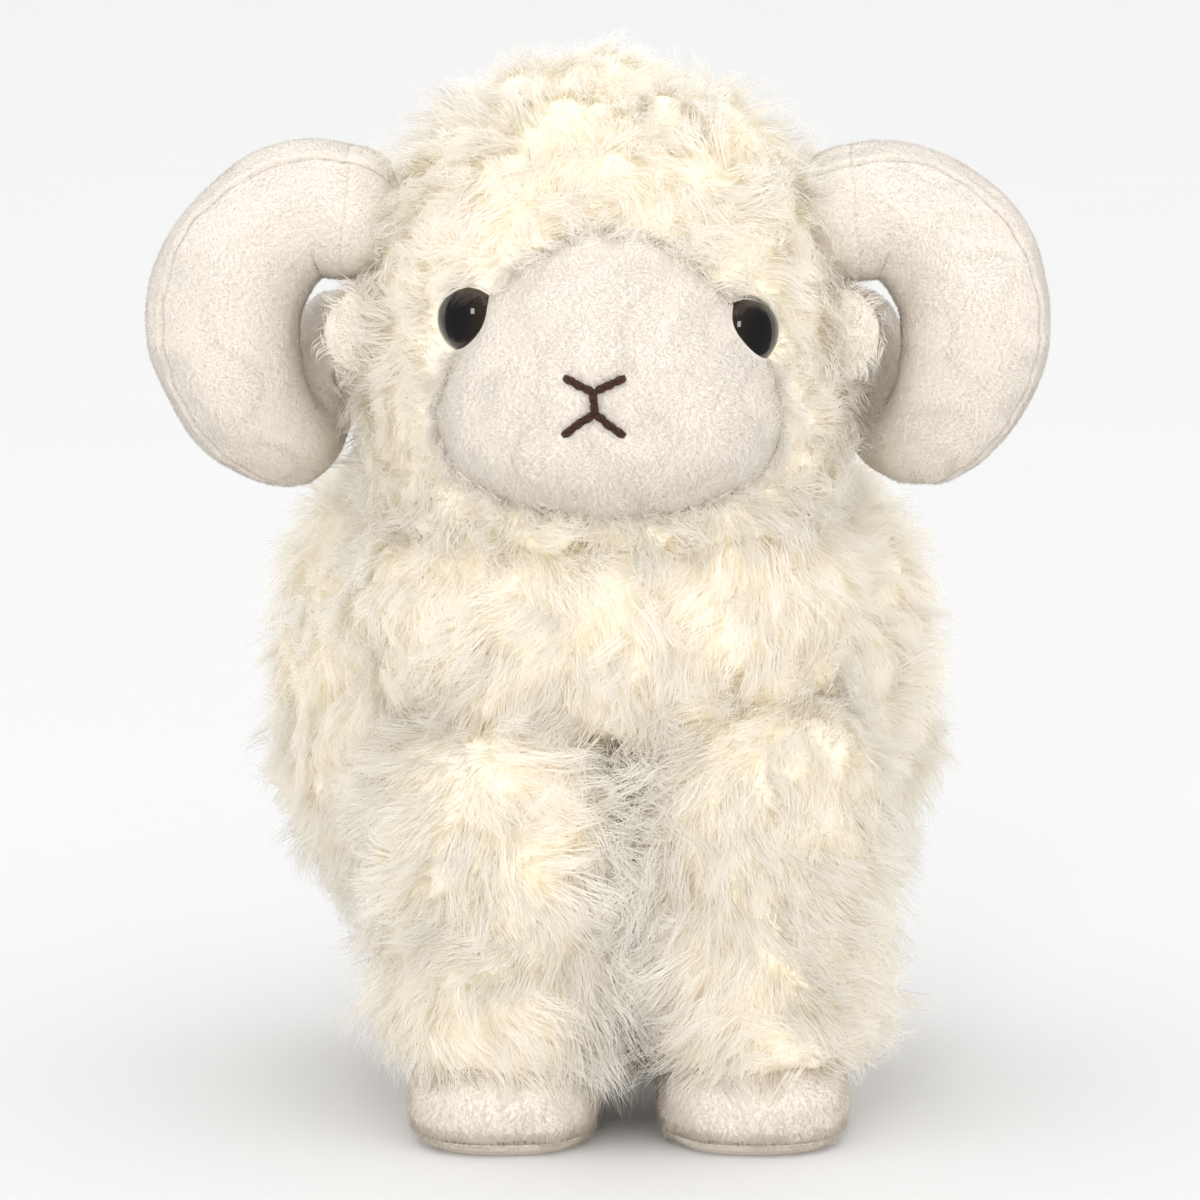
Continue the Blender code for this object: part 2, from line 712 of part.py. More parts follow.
def build_head(guides, wool, plush, filling):
    """The hood of curly pile, the smooth face panel and the stuffing of both."""
    hood = add_piece("head_hood", head_shape(), wool)
    cut(hood, guides["barrel"], guides["chest"], guides["head_hollow"], guides["face"])
    cut(hood, *guides["eyes"], *guides["horn_roots"])
    face = add_piece("face_panel", face_shape(), plush)
    cut(face, guides["face_hollow"], guides["head_hollow"], guides["chest"], *guides["eyes"])
    stuffing = add_piece("head_stuffing", head_core(-HEAD_WALL - GAP), filling)
    fuse(stuffing, add_cutter("guide_face_stuffing", face_shape(-FACE_WALL - GAP, True)))
    cut(stuffing, guides["barrel"], guides["chest"])
    fuse(stuffing, guides["neck_plug"])
    cut(stuffing, *guides["sockets"], *guides["horn_roots"])


def build_eyes(guides, black, white):
    """Both eyes with their locking washers."""
    for index, (side, word) in enumerate(((-1, "left"), (1, "right"))):
        add_piece(word + "_eye", eye_shape(side), black)
        washer = add_piece(word + "_eye_washer", washer_shape(side), white)
        cut(washer, guides["eyes"][index])


def build_mouth(thread):
    """Nose and mouth lines, joined into one embroidered figure."""
    top = MOUTH_JOIN
    low = (top[0], top[1] - PHILTRUM)
    strokes = [
        stroke_shape(top, low),
        stroke_shape(top, (top[0] - NOSE_SPREAD, top[1] + NOSE_RISE)),
        stroke_shape(top, (top[0] + NOSE_SPREAD, top[1] + NOSE_RISE)),
        stroke_shape(low, (low[0] - MOUTH_SPREAD, low[1] - MOUTH_DROP)),
        stroke_shape(low, (low[0] + MOUTH_SPREAD, low[1] - MOUTH_DROP)),
    ]
    figure = add_piece("nose_mouth_embroidery", strokes[0], thread)
    for index, stroke in enumerate(strokes[1:]):
        fuse(figure, add_cutter("guide_stroke_" + str(index), stroke))


def build_horns(plush, filling):
    """Both horns: a cover open at its root, and the stuffing in it."""
    for side, word in ((-1, "left"), (1, "right")):
        root = horn_root(side)
        cover = add_piece(word + "_horn_cover", horn_shape(side), plush, root)
        bore = horn_shape(side, 0.0, HORN_WALL, True)
        cut(cover, add_cutter("guide_horn_bore_" + word, bore))
        core = horn_shape(side, -GAP, HORN_WALL)
        add_piece(word + "_horn_stuffing", core, filling, root)


def build_ears(wool):
    """Both ears, each turning about its seam."""
    for side, word in ((-1, "left"), (1, "right")):
        add_piece(word + "_ear", ear_shape(side), wool, ear_root(side))


def build_legs(guides, wool, plush, filling):
    """Four legs, each with a sleeve, its stuffing, a foot and a sole."""
    for front, end in ((True, "front"), (False, "rear")):
        for side, word in ((-1, "left"), (1, "right")):
            name = end + "_" + word
            foot_guide = add_cutter("guide_foot_" + name, foot_shape(side, front, GAP))
            core_guide = add_cutter("guide_core_" + name, leg_shape(side, front, 0.0, True))
            sleeve = add_piece(name + "_leg_sleeve", leg_shape(side, front), wool)
            cut(sleeve, guides["barrel"], guides["chest"], core_guide, foot_guide)
            core = add_piece(name + "_leg_stuffing", leg_shape(side, front, -GAP, True), filling)
            cut(core, guides["barrel"], guides["chest"], foot_guide)
            foot = add_piece(name + "_foot", foot_shape(side, front), plush)
            cut(foot, guides["barrel"])
            add_piece(name + "_sole", sole_shape(side, front), plush)


def build_tail(guides, wool):
    """The tail, hanging from its root on the rump."""
    tail = add_piece("tail", tail_shape(), wool, tail_root())
    cut(tail, guides["barrel"])


def main():
    """Build every piece of the toy."""
    clear_scene()
    make_material("guide", WOOL, 1.0)
    wool = make_material("shaggy_wool", WOOL, 0.95)
    plush = make_material("short_plush", PLUSH, 0.90)
    filling = make_material("fibre_filling", FILLING, 0.95)
    black = make_material("eye_black", EYE_BLACK, 0.08)
    thread = make_material("brown_thread", THREAD_BROWN, 0.70)
    white = make_material("washer_white", WASHER_WHITE, 0.45)
    guides = build_guides()
    build_body(guides, wool, filling)
    build_head(guides, wool, plush, filling)
    build_eyes(guides, black, white)
    build_mouth(thread)
    build_horns(plush, filling)
    build_ears(wool)
    build_legs(guides, wool, plush, filling)
    build_tail(guides, wool)


main()
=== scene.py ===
"""The looks of the plush sheep: woolly coat, curly hood, short plush, glossy eyes and stitching.

Each pile is grown from numpy arrays. Locks stand on a backing cloth, fibres stand in the locks, and
every fibre is a narrow strip that tapers to its tip. All lengths are in metres.
"""

import math

import bpy
import numpy as np
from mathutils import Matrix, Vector


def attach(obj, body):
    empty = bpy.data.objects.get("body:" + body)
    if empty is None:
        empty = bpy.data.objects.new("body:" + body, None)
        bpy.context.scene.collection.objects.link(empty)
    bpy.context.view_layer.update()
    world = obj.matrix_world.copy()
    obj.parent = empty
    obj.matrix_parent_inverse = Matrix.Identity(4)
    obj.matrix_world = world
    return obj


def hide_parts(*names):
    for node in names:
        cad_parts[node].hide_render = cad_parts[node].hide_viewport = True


# Camera and view
CAMERA_TARGET = (0.0, -0.045, 0.1227)
CAMERA_DISTANCE = 1.10
CAMERA_LEVEL = math.radians(8.0)
CAMERA_LENS = 144.4
CAMERA_SENSOR = 36.0

# Strips of the wool and of the nap
WOOL_WIDTH = 0.00022
NAP_WIDTH = 0.00024
NAP_LENGTH = 0.0011
NAP_LIFT = 0.5

# Rows of the forms under the pile, from the bottom: shares of height, width and depth, and a shift back
HEAD_ROWS = (
    (-1.00, 0.00, 0.00, 0.00), (-0.99, 0.55, 0.55, 0.00), (-0.90, 0.92, 0.92, 0.00), (-0.65, 1.00, 0.98, 0.00),
    (-0.35, 0.99, 1.00, 0.00), (0.00, 0.96, 1.00, 0.00), (0.30, 0.92, 0.96, 0.00), (0.60, 0.77, 0.82, 0.02),
    (0.82, 0.54, 0.58, 0.04), (0.96, 0.26, 0.28, 0.05), (1.00, 0.00, 0.00, 0.05),
)
FACE_ROWS = (
    (-1.00, 0.00, 0.00, 0.00), (-0.96, 0.34, 0.36, 0.00), (-0.82, 0.68, 0.70, 0.00), (-0.58, 0.93, 0.93, 0.00),
    (-0.28, 1.00, 1.00, 0.00), (0.05, 0.94, 0.96, -0.02), (0.38, 0.80, 0.78, -0.10), (0.68, 0.60, 0.52, -0.24),
    (0.90, 0.34, 0.28, -0.38), (1.00, 0.00, 0.00, -0.44),
)
LEG_ROWS = (
    (-1.00, 0.00, 0.00, 0.00), (-0.995, 0.62, 0.62, 0.00), (-0.93, 0.86, 0.86, 0.00), (-0.60, 0.96, 0.96, 0.00),
    (-0.10, 1.00, 1.00, 0.00), (0.40, 0.97, 0.97, 0.00), (0.75, 0.78, 0.78, 0.00), (0.94, 0.42, 0.42, 0.00),
    (1.00, 0.00, 0.00, 0.00),
)

# Forms under the pile: centre, half sizes, fullness of the level outline, and rows (none: a round form)
BODY = ((0.0010, 0.0140, 0.0930), (0.0815, 0.0720, 0.0710), 2.5, None)
CHEST = ((0.0010, -0.0400, 0.1220), (0.0610, 0.0400, 0.0430), 2.3, None)
HEAD = ((0.0005, -0.0420, 0.1900), (0.0560, 0.0430, 0.0590), 2.2, HEAD_ROWS)
FACE = ((0.0018, -0.0675, 0.1762), (0.0390, 0.0275, 0.0330), 2.1, FACE_ROWS)
LEG_HALF = (0.0280, 0.0270, 0.0440)
LEG_FULLNESS = 2.4
LEG_HEM = 0.0170
LEG_SPREAD = 0.0287
STANCE_SHIFT = 0.0065
LEG_DEPTHS = {"front": -0.0500, "rear": 0.0470}
FOOT_HALF = (0.0218, 0.0270, 0.0120)
FOOT_FULLNESS = 2.6
FOOT_FORWARD = 0.0010
FOOT_CUT = 0.478
FOOT_NAP_TOP = 0.024
FOOT_FRINGE_TOP = 0.0066
SOLE_THICKNESS = 0.0030
SOLE_ROWS = ((0, 0), (0, 0.84), (0.12, 0.91), (0.4, 0.985), (0.75, 1.0), (1, 0.99), (1, 0))
CLEARANCE = 0.0003
GROOVE = ((STANCE_SHIFT, -0.0580, 0.0610), (0.0120, 0.0125, 0.0440), 2.0, None)

# Middle and half sizes of the round form that shades the legs' wool
LEGS_AROUND = (np.array([STANCE_SHIFT, 0.0, 0.0670]), np.array([0.0570, 0.0770, 0.1500]))

# Horn tube: centre, rounds and thickness, and its course in shares of them
HORN_CENTRE = (0.0612, -0.0450, 0.1850)
HORN_ROUND = (0.0238, 0.0280, 0.0266)
HORN_THICKNESS = 0.0172
HORN_AROUND = 84
HORN_STITCH = 0.0034
HORN_COURSE = (
    (-0.17, 0.00, 0.98, 0.86), (0.25, 0.00, 1.00, 0.89), (0.68, 0.00, 0.76, 0.96), (0.96, 0.00, 0.32, 1.00),
    (1.00, 0.02, -0.12, 0.98), (0.88, 0.08, -0.53, 0.88), (0.66, 0.22, -0.84, 0.74), (0.44, 0.44, -0.97, 0.65),
    (0.28, 0.70, -0.86, 0.60), (0.13, 0.92, -0.50, 0.56), (-0.03, 1.00, -0.08, 0.52),
)

# Eyes and mouth
EYE_RADIUS = 0.0080
EYE_HEIGHT = 0.0070
EYE_SPREAD = 0.0303
EYE_DEPTH = 0.0735
EYE_LEVEL = 0.1881
EYE_TILT = 0.0014
EYE_TURN = math.radians(48.0)
EYE_STEM = (
    (-0.0004, 0.0080), (-0.0008, 0.00785), (-0.0010, 0.0074),
    (-0.0010, 0.0020), (-0.0130, 0.0020), (-0.0130, 0.0),
)
MOUTH_JOIN = (-0.0013, 0.1752)
NOSE_SPREAD = 0.0068
NOSE_RISE = 0.0032
PHILTRUM = 0.0048
MOUTH_SPREAD = 0.0070
MOUTH_DROP = 0.0050
STITCH_LENGTH = 0.0030
STITCH_RINGS = 15
STRANDS = 5

# Ears and tail
EAR_REACH = 0.0105
EAR_HALF_HEIGHT = 0.0100
EAR_FORWARD = 0.0120
TAIL_ROOT = (0.0010, 0.0828, 0.1220)
TAIL_ROWS = (
    (-1, 0, 0, 0), (-0.94, 0.42, 0.42, 0), (-0.6, 0.9, 0.9, 0), (-0.1, 1, 1, 0),
    (0.5, 0.78, 0.78, -0.4), (0.92, 0.5, 0.5, -0.9), (1, 0, 0, -1.0),
)
TAIL = (
    (TAIL_ROOT[0], TAIL_ROOT[1] + 0.0055, TAIL_ROOT[2] - 0.0130), (0.0080, 0.0062, 0.0170), 2.0, TAIL_ROWS
)

# Sides with their sign on X, and the direction away from the viewer
SIDES = ((-1, "left"), (1, "right"))
BACK = np.array([0.0, 1.0, 0.0])

# Relief of the wool, as on the solids: dips on body and head, their wave, and the still seams
BODY_RELIEF = 0.0055
HEAD_RELIEF = 0.0040
RELIEF_WAVE = 0.0240
RELIEF_END = 0.30
RELIEF_QUIET = 0.0160
STILL_PLACES = (
    (0.0010, 0.0828, 0.1220), (0.0010, 0.0828, 0.0920),
    (-0.0285, -0.0735, 0.1895), (0.0321, -0.0735, 0.1867),
    (-0.0572, -0.0450, 0.2111), (0.0572, -0.0450, 0.2111),
    (-0.0530, -0.0540, 0.1850), (0.0540, -0.0540, 0.1850),
)

# Paces of a low-discrepancy pair, from the plastic number
PLASTIC_PACES = (0.7548776662, 0.5698402910)


# Noise, sampling and mesh helpers

def waves(points, length, seed, count=7):
    """Smooth noise from -1 to 1: the mean of sines that run in random directions, a wave length long."""
    rng = np.random.default_rng(seed)
    turn = rng.normal(size=(count, 3))
    turn /= np.linalg.norm(turn, axis=1)[:, None]
    pace = 2 * math.pi / length * rng.uniform(0.7, 1.4, count)
    phase = rng.uniform(0, 2 * math.pi, count)
    total = np.sin(points @ (turn * pace[:, None]).T + phase).sum(axis=-1)
    return np.clip(total / (0.9 * math.sqrt(count)), -1, 1)


def bell(away, width):
    """One at no distance, and e to the minus square of the distance by the width further out."""
    return np.exp(-((away / width) ** 2))


def slope(values, start, reach, low=0.0, high=1.0):
    """Share of the reach that values lie past the start, held between low and high."""
    return np.clip((values - start) / reach, low, high)


def unit(vectors):
    """The vectors scaled to length one."""
    return vectors / np.maximum(np.linalg.norm(vectors, axis=-1, keepdims=True), 1e-12)


def smooth_rows(rows, count):
    """Rows read at even steps from a Catmull-Rom curve through the given rows."""
    rows = np.asarray(rows, dtype=float)
    padded = np.vstack([2 * rows[0] - rows[1], rows, 2 * rows[-1] - rows[-2]])
    steps = np.linspace(0, len(rows) - 1, count)
    index = np.minimum(steps.astype(int), len(rows) - 2)
    part = (steps - index)[:, None]
    before, start, end, after = (padded[index + shift] for shift in range(4))
    return 0.5 * (
        2 * start
        + (end - before) * part
        + (2 * before - 5 * start + 4 * end - after) * part**2
        + (3 * start - before - 3 * end + after) * part**3
    )


def signed_power(values, power):
    """Values raised to a power, with their signs kept."""
    return np.sign(values) * np.abs(values) ** power


def round_rows(fullness, count=33):
    """Rows of a round form: height runs as a power of the sine of an even angle, width as one of its cosine."""
    angle = np.linspace(-math.pi / 2, math.pi / 2, count)
    width = np.abs(np.cos(angle)) ** (2 / fullness)
    width[[0, -1]] = 0
    return np.column_stack([signed_power(np.sin(angle), 2 / fullness), width, width, np.zeros(count)])


def outline(around, fullness):
    """Unit outline of a level ring: signed powers of cosine and sine of an even angle."""
    angle = np.arange(around) * 2 * math.pi / around
    return signed_power(np.column_stack([np.cos(angle), np.sin(angle)]), 2 / fullness)


class Form:
    """A closed form of level rings: shares of height, width, depth and shift on half sizes round a centre."""

    def __init__(self, place, grow=0.0):
        centre, half, self.fullness, rows = place
        self.centre = np.array(centre)
        self.half = np.array(half) + grow
        self.rows = np.asarray(round_rows(self.fullness) if rows is None else rows, dtype=float)

    def grid(self, rings, around):
        """Points of the surface, ring by ring from the bottom: each row's shares times the unit outline."""
        rows = smooth_rows(self.rows, rings)
        ring = outline(around, self.fullness)
        points = np.zeros((rings, around, 3))
        points[:, :, 0] = rows[:, 1, None] * ring[None, :, 0]
        points[:, :, 1] = rows[:, 2, None] * ring[None, :, 1] + rows[:, 3, None]
        points[:, :, 2] = rows[:, 0, None]
        return self.centre + self.half * points

    def shares(self, height, count=160):
        """Shares of width, depth and shift at a height, read from so many smooth rows."""
        table = smooth_rows(self.rows, count)
        level = (height - self.centre[2]) / self.half[2]
        return [np.interp(level, table[:, 0], table[:, column]) for column in (1, 2, 3)]

    def ratio(self, points):
        """How far out points lie in their level ring: 0 on its axis, 1 on the surface, 9 past the ends."""
        local = (points - self.centre) / self.half
        width, depth, shift = self.shares(points[..., 2])
        across = np.abs(local[..., 0]) / np.maximum(width, 0.02)
        along = np.abs(local[..., 1] - shift) / np.maximum(depth, 0.02)
        out = (across**self.fullness + along**self.fullness) ** (1 / self.fullness)
        return np.where(np.abs(local[..., 2]) > 0.995, 9.0, out)

    def bulge(self, side):
        """Half depth of the level outline at shares of its half width, or the other way about."""
        return (1 - side**self.fullness) ** (1 / self.fullness)

    def push_out(self, points):
        """Points inside the form moved out level to its surface, the others as they are."""
        axis = np.zeros_like(points)
        axis[..., 1] = self.shares(points[..., 2])[2] * self.half[1]
        axis[..., 2] = points[..., 2] - self.centre[2]
        axis = axis + self.centre
        scale = 1 / np.clip(self.ratio(points), 0.15, 1.0)
        return axis + (points - axis) * scale[..., None]


def grid_normals(points):
    """Outward normals and cell areas of a ring grid: the cross of the step round and the step along."""
    across = np.roll(points, -1, axis=1) - np.roll(points, 1, axis=1)
    along = np.gradient(points, axis=0)
    normal = np.cross(across, along)
    area = np.linalg.norm(normal, axis=2) / 2
    return unit(normal), area


def scatter(points, count, seed, keep=None):
    """Even random places on a ring grid, with normals: a low-discrepancy pair read through the grid's area.

    Where a test is given, only the places that pass it are kept.
    """
    normal, area = grid_normals(points)
    rings, around = area.shape
    by_ring = np.cumsum(area.sum(axis=1))
    by_ring = np.concatenate([[0], by_ring / by_ring[-1]])
    step = np.arange(count) + 0.5
    rng = np.random.default_rng(seed)
    first, second = ((step * pace + shift) % 1 for pace, shift in zip(PLASTIC_PACES, rng.random(2)))
    high = np.interp(first, by_ring, np.arange(rings + 1)) - 0.5
    high = np.clip(high, 0, rings - 1.001)
    ring = np.round(high).astype(int)
    in_ring = np.cumsum(area, axis=1) / np.maximum(area.sum(axis=1), 1e-12)[:, None]
    flat = (in_ring + np.arange(rings)[:, None]).ravel()
    cell = np.searchsorted(flat, ring + second * 0.999999) % around
    side = (cell + rng.random(count)) % around
    low, left = high.astype(int), side.astype(int) % around
    part_v, part_u = (high - low)[:, None], (side - side.astype(int))[:, None]
    right = (left + 1) % around

    def read(values):
        lower = values[low, left] * (1 - part_u) + values[low, right] * part_u
        upper = values[low + 1, left] * (1 - part_u) + values[low + 1, right] * part_u
        return lower * (1 - part_v) + upper * part_v

    places, normals = read(points), unit(read(normal))
    kept = slice(None) if keep is None else keep(places, normals)
    return places[kept], normals[kept]


def make_piece(name, points, triangles, material, uvs=None, shading=None, smooth=True):
    """A mesh object from whole arrays: points, triangles, a UV pair for each corner and shading normals."""
    mesh = bpy.data.meshes.new(name)

    def store(owner, key, values, kind=np.float32):
        owner.foreach_set(key, np.ascontiguousarray(values, dtype=kind).ravel())

    mesh.vertices.add(len(points))
    store(mesh.vertices, "co", points)
    mesh.loops.add(triangles.size)
    store(mesh.loops, "vertex_index", triangles, np.int32)
    mesh.polygons.add(len(triangles))
    store(mesh.polygons, "loop_start", np.arange(0, triangles.size, 3), np.int32)
    store(mesh.polygons, "use_smooth", np.full(len(triangles), smooth), bool)
    if uvs is not None:
        store(mesh.uv_layers.new(name="OFBake").data, "uv", uvs)
    if shading is not None:
        store(mesh.attributes.new("custom_normal", "FLOAT_VECTOR", "POINT").data, "vector", shading)
    mesh.update(calc_edges=True)
    mesh.materials.append(material)
    piece = bpy.data.objects.new(name, mesh)
    bpy.context.scene.collection.objects.link(piece)
    return piece


def join_parts(parts):
    """Meshes as one: parts are rows of points, triangles and further arrays, and triangles count on."""
    columns = [list(column) for column in zip(*parts)]
    before = np.cumsum([0] + [len(points) for points in columns[0]])
    columns[1] = [triangles + offset for triangles, offset in zip(columns[1], before)]
    return [np.concatenate(column) for column in columns]


def dress(piece, body, replaced=()):
    """Hide the nodes that a piece replaces and attach the piece to its body."""
    if replaced:
        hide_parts(*replaced)
    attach(piece, body)


def skin_triangles(rings, around):
    """Triangles of a ring grid whose first and last ring are drawn to single points."""
    index = 1 + np.arange((rings - 2) * around).reshape(rings - 2, around)
    other = np.roll(index, -1, axis=1)
    body = np.stack([
        np.stack([index[:-1], other[:-1], other[1:]], axis=-1),
        np.stack([index[:-1], other[1:], index[1:]], axis=-1),
    ], axis=2).reshape(-1, 3)
    start = np.stack([np.zeros_like(index[0]), other[0], index[0]], axis=-1)
    end = np.stack([index[-1], other[-1], np.full_like(index[0], index.size + 1)], axis=-1)
    return np.vstack([start, body, end])


def closed_skin(grid):
    """Points and outward triangles of a skin over a ring grid, with each end ring drawn to one point."""
    points = np.vstack([grid[0].mean(axis=0), grid[1:-1].reshape(-1, 3), grid[-1].mean(axis=0)])
    triangles = skin_triangles(*grid.shape[:2])
    corners = points[triangles] - points.mean(axis=0)
    volume = np.einsum("ij,ij->i", corners[:, 0], np.cross(corners[:, 1], corners[:, 2])).sum()
    return points, triangles if volume > 0 else triangles[:, ::-1]


def make_skin(name, grid, material, replaced, body="sheep"):
    """A padded piece with a closed skin over a ring grid."""
    dress(make_piece(name, *closed_skin(grid), material), body, replaced)


# Pile

def along_surface(vectors, normal):
    """Unit directions of vectors along a surface: they lose their share of its normal."""
    return unit(vectors - (vectors * normal).sum(axis=1, keepdims=True) * normal)


def turn_about(vectors, axes, angle):
    """Vectors that lie square to their axes, turned about them by an angle."""
    angle = np.asarray(angle)[..., None]
    return np.cos(angle) * vectors + np.sin(angle) * np.cross(axes, vectors)


def laid(vectors, normal, points, turn, length, seed):
    """Directions of vectors along the surface, turned about its normal by an angle times smooth noise."""
    return turn_about(along_surface(vectors, normal), normal, turn * waves(points, length, seed))


def comb_down(normal, points, swirl, swirl_length, seed):
    """Direction in which pile lies: downhill on the surface, turned by smooth noise."""
    return laid(np.array([0.0, -0.05, -1.0]), normal, points, swirl, swirl_length, seed)


def tuft_places(grid, style, seed):
    """Centres and normals of the tufts on a ring grid."""
    count = max(3, int(grid_normals(grid)[1].sum() / style["tuft"] ** 2))
    return scatter(grid, count, seed + 1)


def nearest_tufts(points, tufts):
    """Index of each point's nearest tuft and how far inside it lies: 0 at its edge, 1 at its middle.

    With the distances d1 and d2 to the two nearest tufts that is (d2 - d1) / (d2 + d1).
    """
    away = np.sqrt(((points[:, None, :] - tufts[None, :, :]) ** 2).sum(axis=2))
    nearest = away.argmin(axis=1)
    first, second = np.partition(away, 1, axis=1)[:, :2].T
    return nearest, (second - first) / (second + first + 1e-9)


def tufted(grid, style, seed):
    """The grid with a low dome under each tuft: height times the square root of how far inside it lies."""
    tufts, _ = tuft_places(grid, style, seed)
    inside = nearest_tufts(grid.reshape(-1, 3), tufts)[1].reshape(grid.shape[:2])
    return grid + (style["dome"] * np.sqrt(np.clip(inside, 0, 1)))[..., None] * grid_normals(grid)[0]


def grow_pile(grid, style, seed, keep=None, comb=None, trim=None, around=None):
    """Fibres of a woolly pile, as arrays of points, skin and shading normals, tones and rolls.

    A tuft is a pad of locks that lie one way and fan out, and a lock is a bundle of fibres. A fibre at
    share s of its length stands at its root plus length times (normal times a rise that flattens out,
    plus comb direction times a reach that speeds up), drawn towards the middle of its lock as s grows,
    with a curl across. Fibres rooted further back in a tuft are longer, so that their tips end together.
    The shading normals lean towards those of one round form with the middle and half sizes in around.
    """
    rng = np.random.default_rng(seed)
    area = grid_normals(grid)[1].sum()
    tuft_root, tuft_normal = tuft_places(grid, style, seed)
    root, normal = scatter(grid, max(8, int(area / style["lock"] ** 2)), seed + 2, keep)
    tuft, inside = nearest_tufts(root, tuft_root)
    flow = (comb or comb_down)(tuft_normal, tuft_root, style["swirl"], style["swirl_length"], seed + 3)
    flow = turn_about(flow, tuft_normal, rng.normal(0, style["tuft_stray"], len(tuft_root)))[tuft]
    flow = along_surface(flow, normal)
    to_tuft = (root - tuft_root[tuft]) / style["tuft"]
    beside = (to_tuft * np.cross(normal, flow)).sum(axis=1)
    behind = -(to_tuft * flow).sum(axis=1)
    flow = turn_about(flow, normal, style["fan"] * beside + rng.normal(0, style["lock_stray"], len(root)))
    tuft_lift = rng.uniform(0.8, 1.25, len(tuft_root))[tuft]
    lift = style["lift"] * tuft_lift * (0.62 + 0.70 * inside) * rng.uniform(0.85, 1.15, len(root))
    length = style["length"] * (1 + style["even"] * behind) * rng.uniform(0.88, 1.12, len(root))
    if trim is not None:
        length = length * trim(root)
    tone = np.clip(0.5 + 0.25 * waves(root, 0.02, seed + 5) + rng.normal(0, 0.07, len(root)), 0, 1)
    curl_turn = rng.uniform(0, 2 * math.pi, len(root))
    middle, half = around or (grid.mean(axis=(0, 1)), np.ptp(grid, axis=(0, 1)) / 2)
    round_normal = unit((root - middle) / half**2)

    owner = np.repeat(np.arange(len(root)), style["fibres"])
    count = len(owner)
    cross = np.cross(normal, flow)[owner]
    normal_f, flow_f = normal[owner], flow[owner]
    spread = style["lock"] * style["spread"] * np.sqrt(rng.random(count))
    angle = rng.uniform(0, 2 * math.pi, count)
    offset = spread[:, None] * (np.cos(angle)[:, None] * flow_f + np.sin(angle)[:, None] * cross)
    sections = style["sections"]
    share = np.linspace(0, 1, sections)[None, :, None]
    fibre_length = (length[owner] * rng.uniform(0.80, 1.10, count))[:, None, None]
    fibre_lift = np.clip(lift[owner] * rng.uniform(0.88, 1.10, count), 0.05, 0.95)[:, None, None]
    rise = fibre_lift * (1 - (1 - share) ** 1.8)
    reach = np.sqrt(1 - fibre_lift**2) * share**1.3
    phase = (curl_turn[owner] + rng.normal(0, 0.6, count))[:, None, None] + 2 * math.pi * style["turns"] * share
    curve = style["curl"] * share**1.3
    stray = rng.normal(0, style["stray"], (count, 1, 3)) * share**1.5
    points = (
        (root[owner] + offset)[:, None, :]
        + fibre_length * (rise * normal_f[:, None, :] + reach * flow_f[:, None, :])
        - share**2 * style["clump"] * offset[:, None, :]
        + curve * (np.cos(phase) * cross[:, None, :] + 0.6 * np.sin(phase) * normal_f[:, None, :])
        + stray
    )
    points[:, 0, :] -= normal_f * style["sink"]
    return {
        "points": points,
        "normal": normal_f,
        "shading": unit(
            0.4 * normal_f + 0.8 * round_normal[owner] + 0.4 * beside[owner][:, None] * cross
            + rng.normal(0, 0.05, (count, 3))
        ),
        "tone": np.clip(tone[owner] + rng.normal(0, 0.05, count), 0.02, 0.98),
        "roll": rng.normal(0, style["roll"], count),
        "reach": np.full(count, style["reach"]),
    }


def strips(pile, width):
    """Points, triangles, UV pairs and shading normals of strips along fibres, which taper to their tips.

    Each point of a fibre moves half a width to both sides. U is the fibre's tone, and V its height.
    """
    points = pile["points"]
    count, sections = points.shape[:2]
    along = unit(np.gradient(points, axis=1))
    side = unit(np.cross(along, pile["normal"][:, None, :]))
    side = turn_about(side, along, np.repeat(pile["roll"][:, None], sections, axis=1))
    share = np.linspace(0, 1, sections)
    half = 0.5 * width * (1 - share**2.2) * (0.75 + 0.25 * np.sin(share * math.pi))
    left = points - side * half[None, :, None]
    right = points + side * half[None, :, None]
    pairs = np.stack([left[:, :-1], right[:, :-1]], axis=2).reshape(count, -1, 3)
    corners = np.concatenate([pairs, points[:, -1:, :]], axis=1)
    corners[..., 2] = np.maximum(corners[..., 2], 0.0002)
    per = corners.shape[1]
    step = 2 * np.arange(sections - 2)[:, None]
    faces = np.concatenate([step + [0, 1, 3], step + [0, 3, 2], [[per - 3, per - 2, per - 1]]])
    triangles = (faces[None] + per * np.arange(count)[:, None, None]).reshape(-1, 3)
    height = np.concatenate([np.repeat(share[:-1], 2), [1.0]])[faces.ravel()]
    v = height[None, :] * pile["reach"][:, None]
    u = np.broadcast_to(pile["tone"][:, None], v.shape)
    uvs = np.stack([u, v], axis=-1).reshape(-1, 2)
    return corners.reshape(-1, 3), triangles, uvs, np.repeat(pile["shading"], per, axis=0)


def choose(pile, mask):
    """The fibres of a pile that the mask keeps."""
    return {key: value[mask] for key, value in pile.items()}


def rooted(pile, side, middle):
    """The part of a pile that is rooted on one side of an upright middle plane."""
    return choose(pile, (pile["points"][:, 0, 0] < middle) == (side < 0))


def make_pile(name, piles, material, body="sheep", width=WOOL_WIDTH):
    """A piece of one or more piles that rides on a body."""
    points, triangles, uvs, shading = join_parts([strips(pile, width) for pile in piles])
    dress(make_piece(name, points, triangles, material, uvs, shading), body)


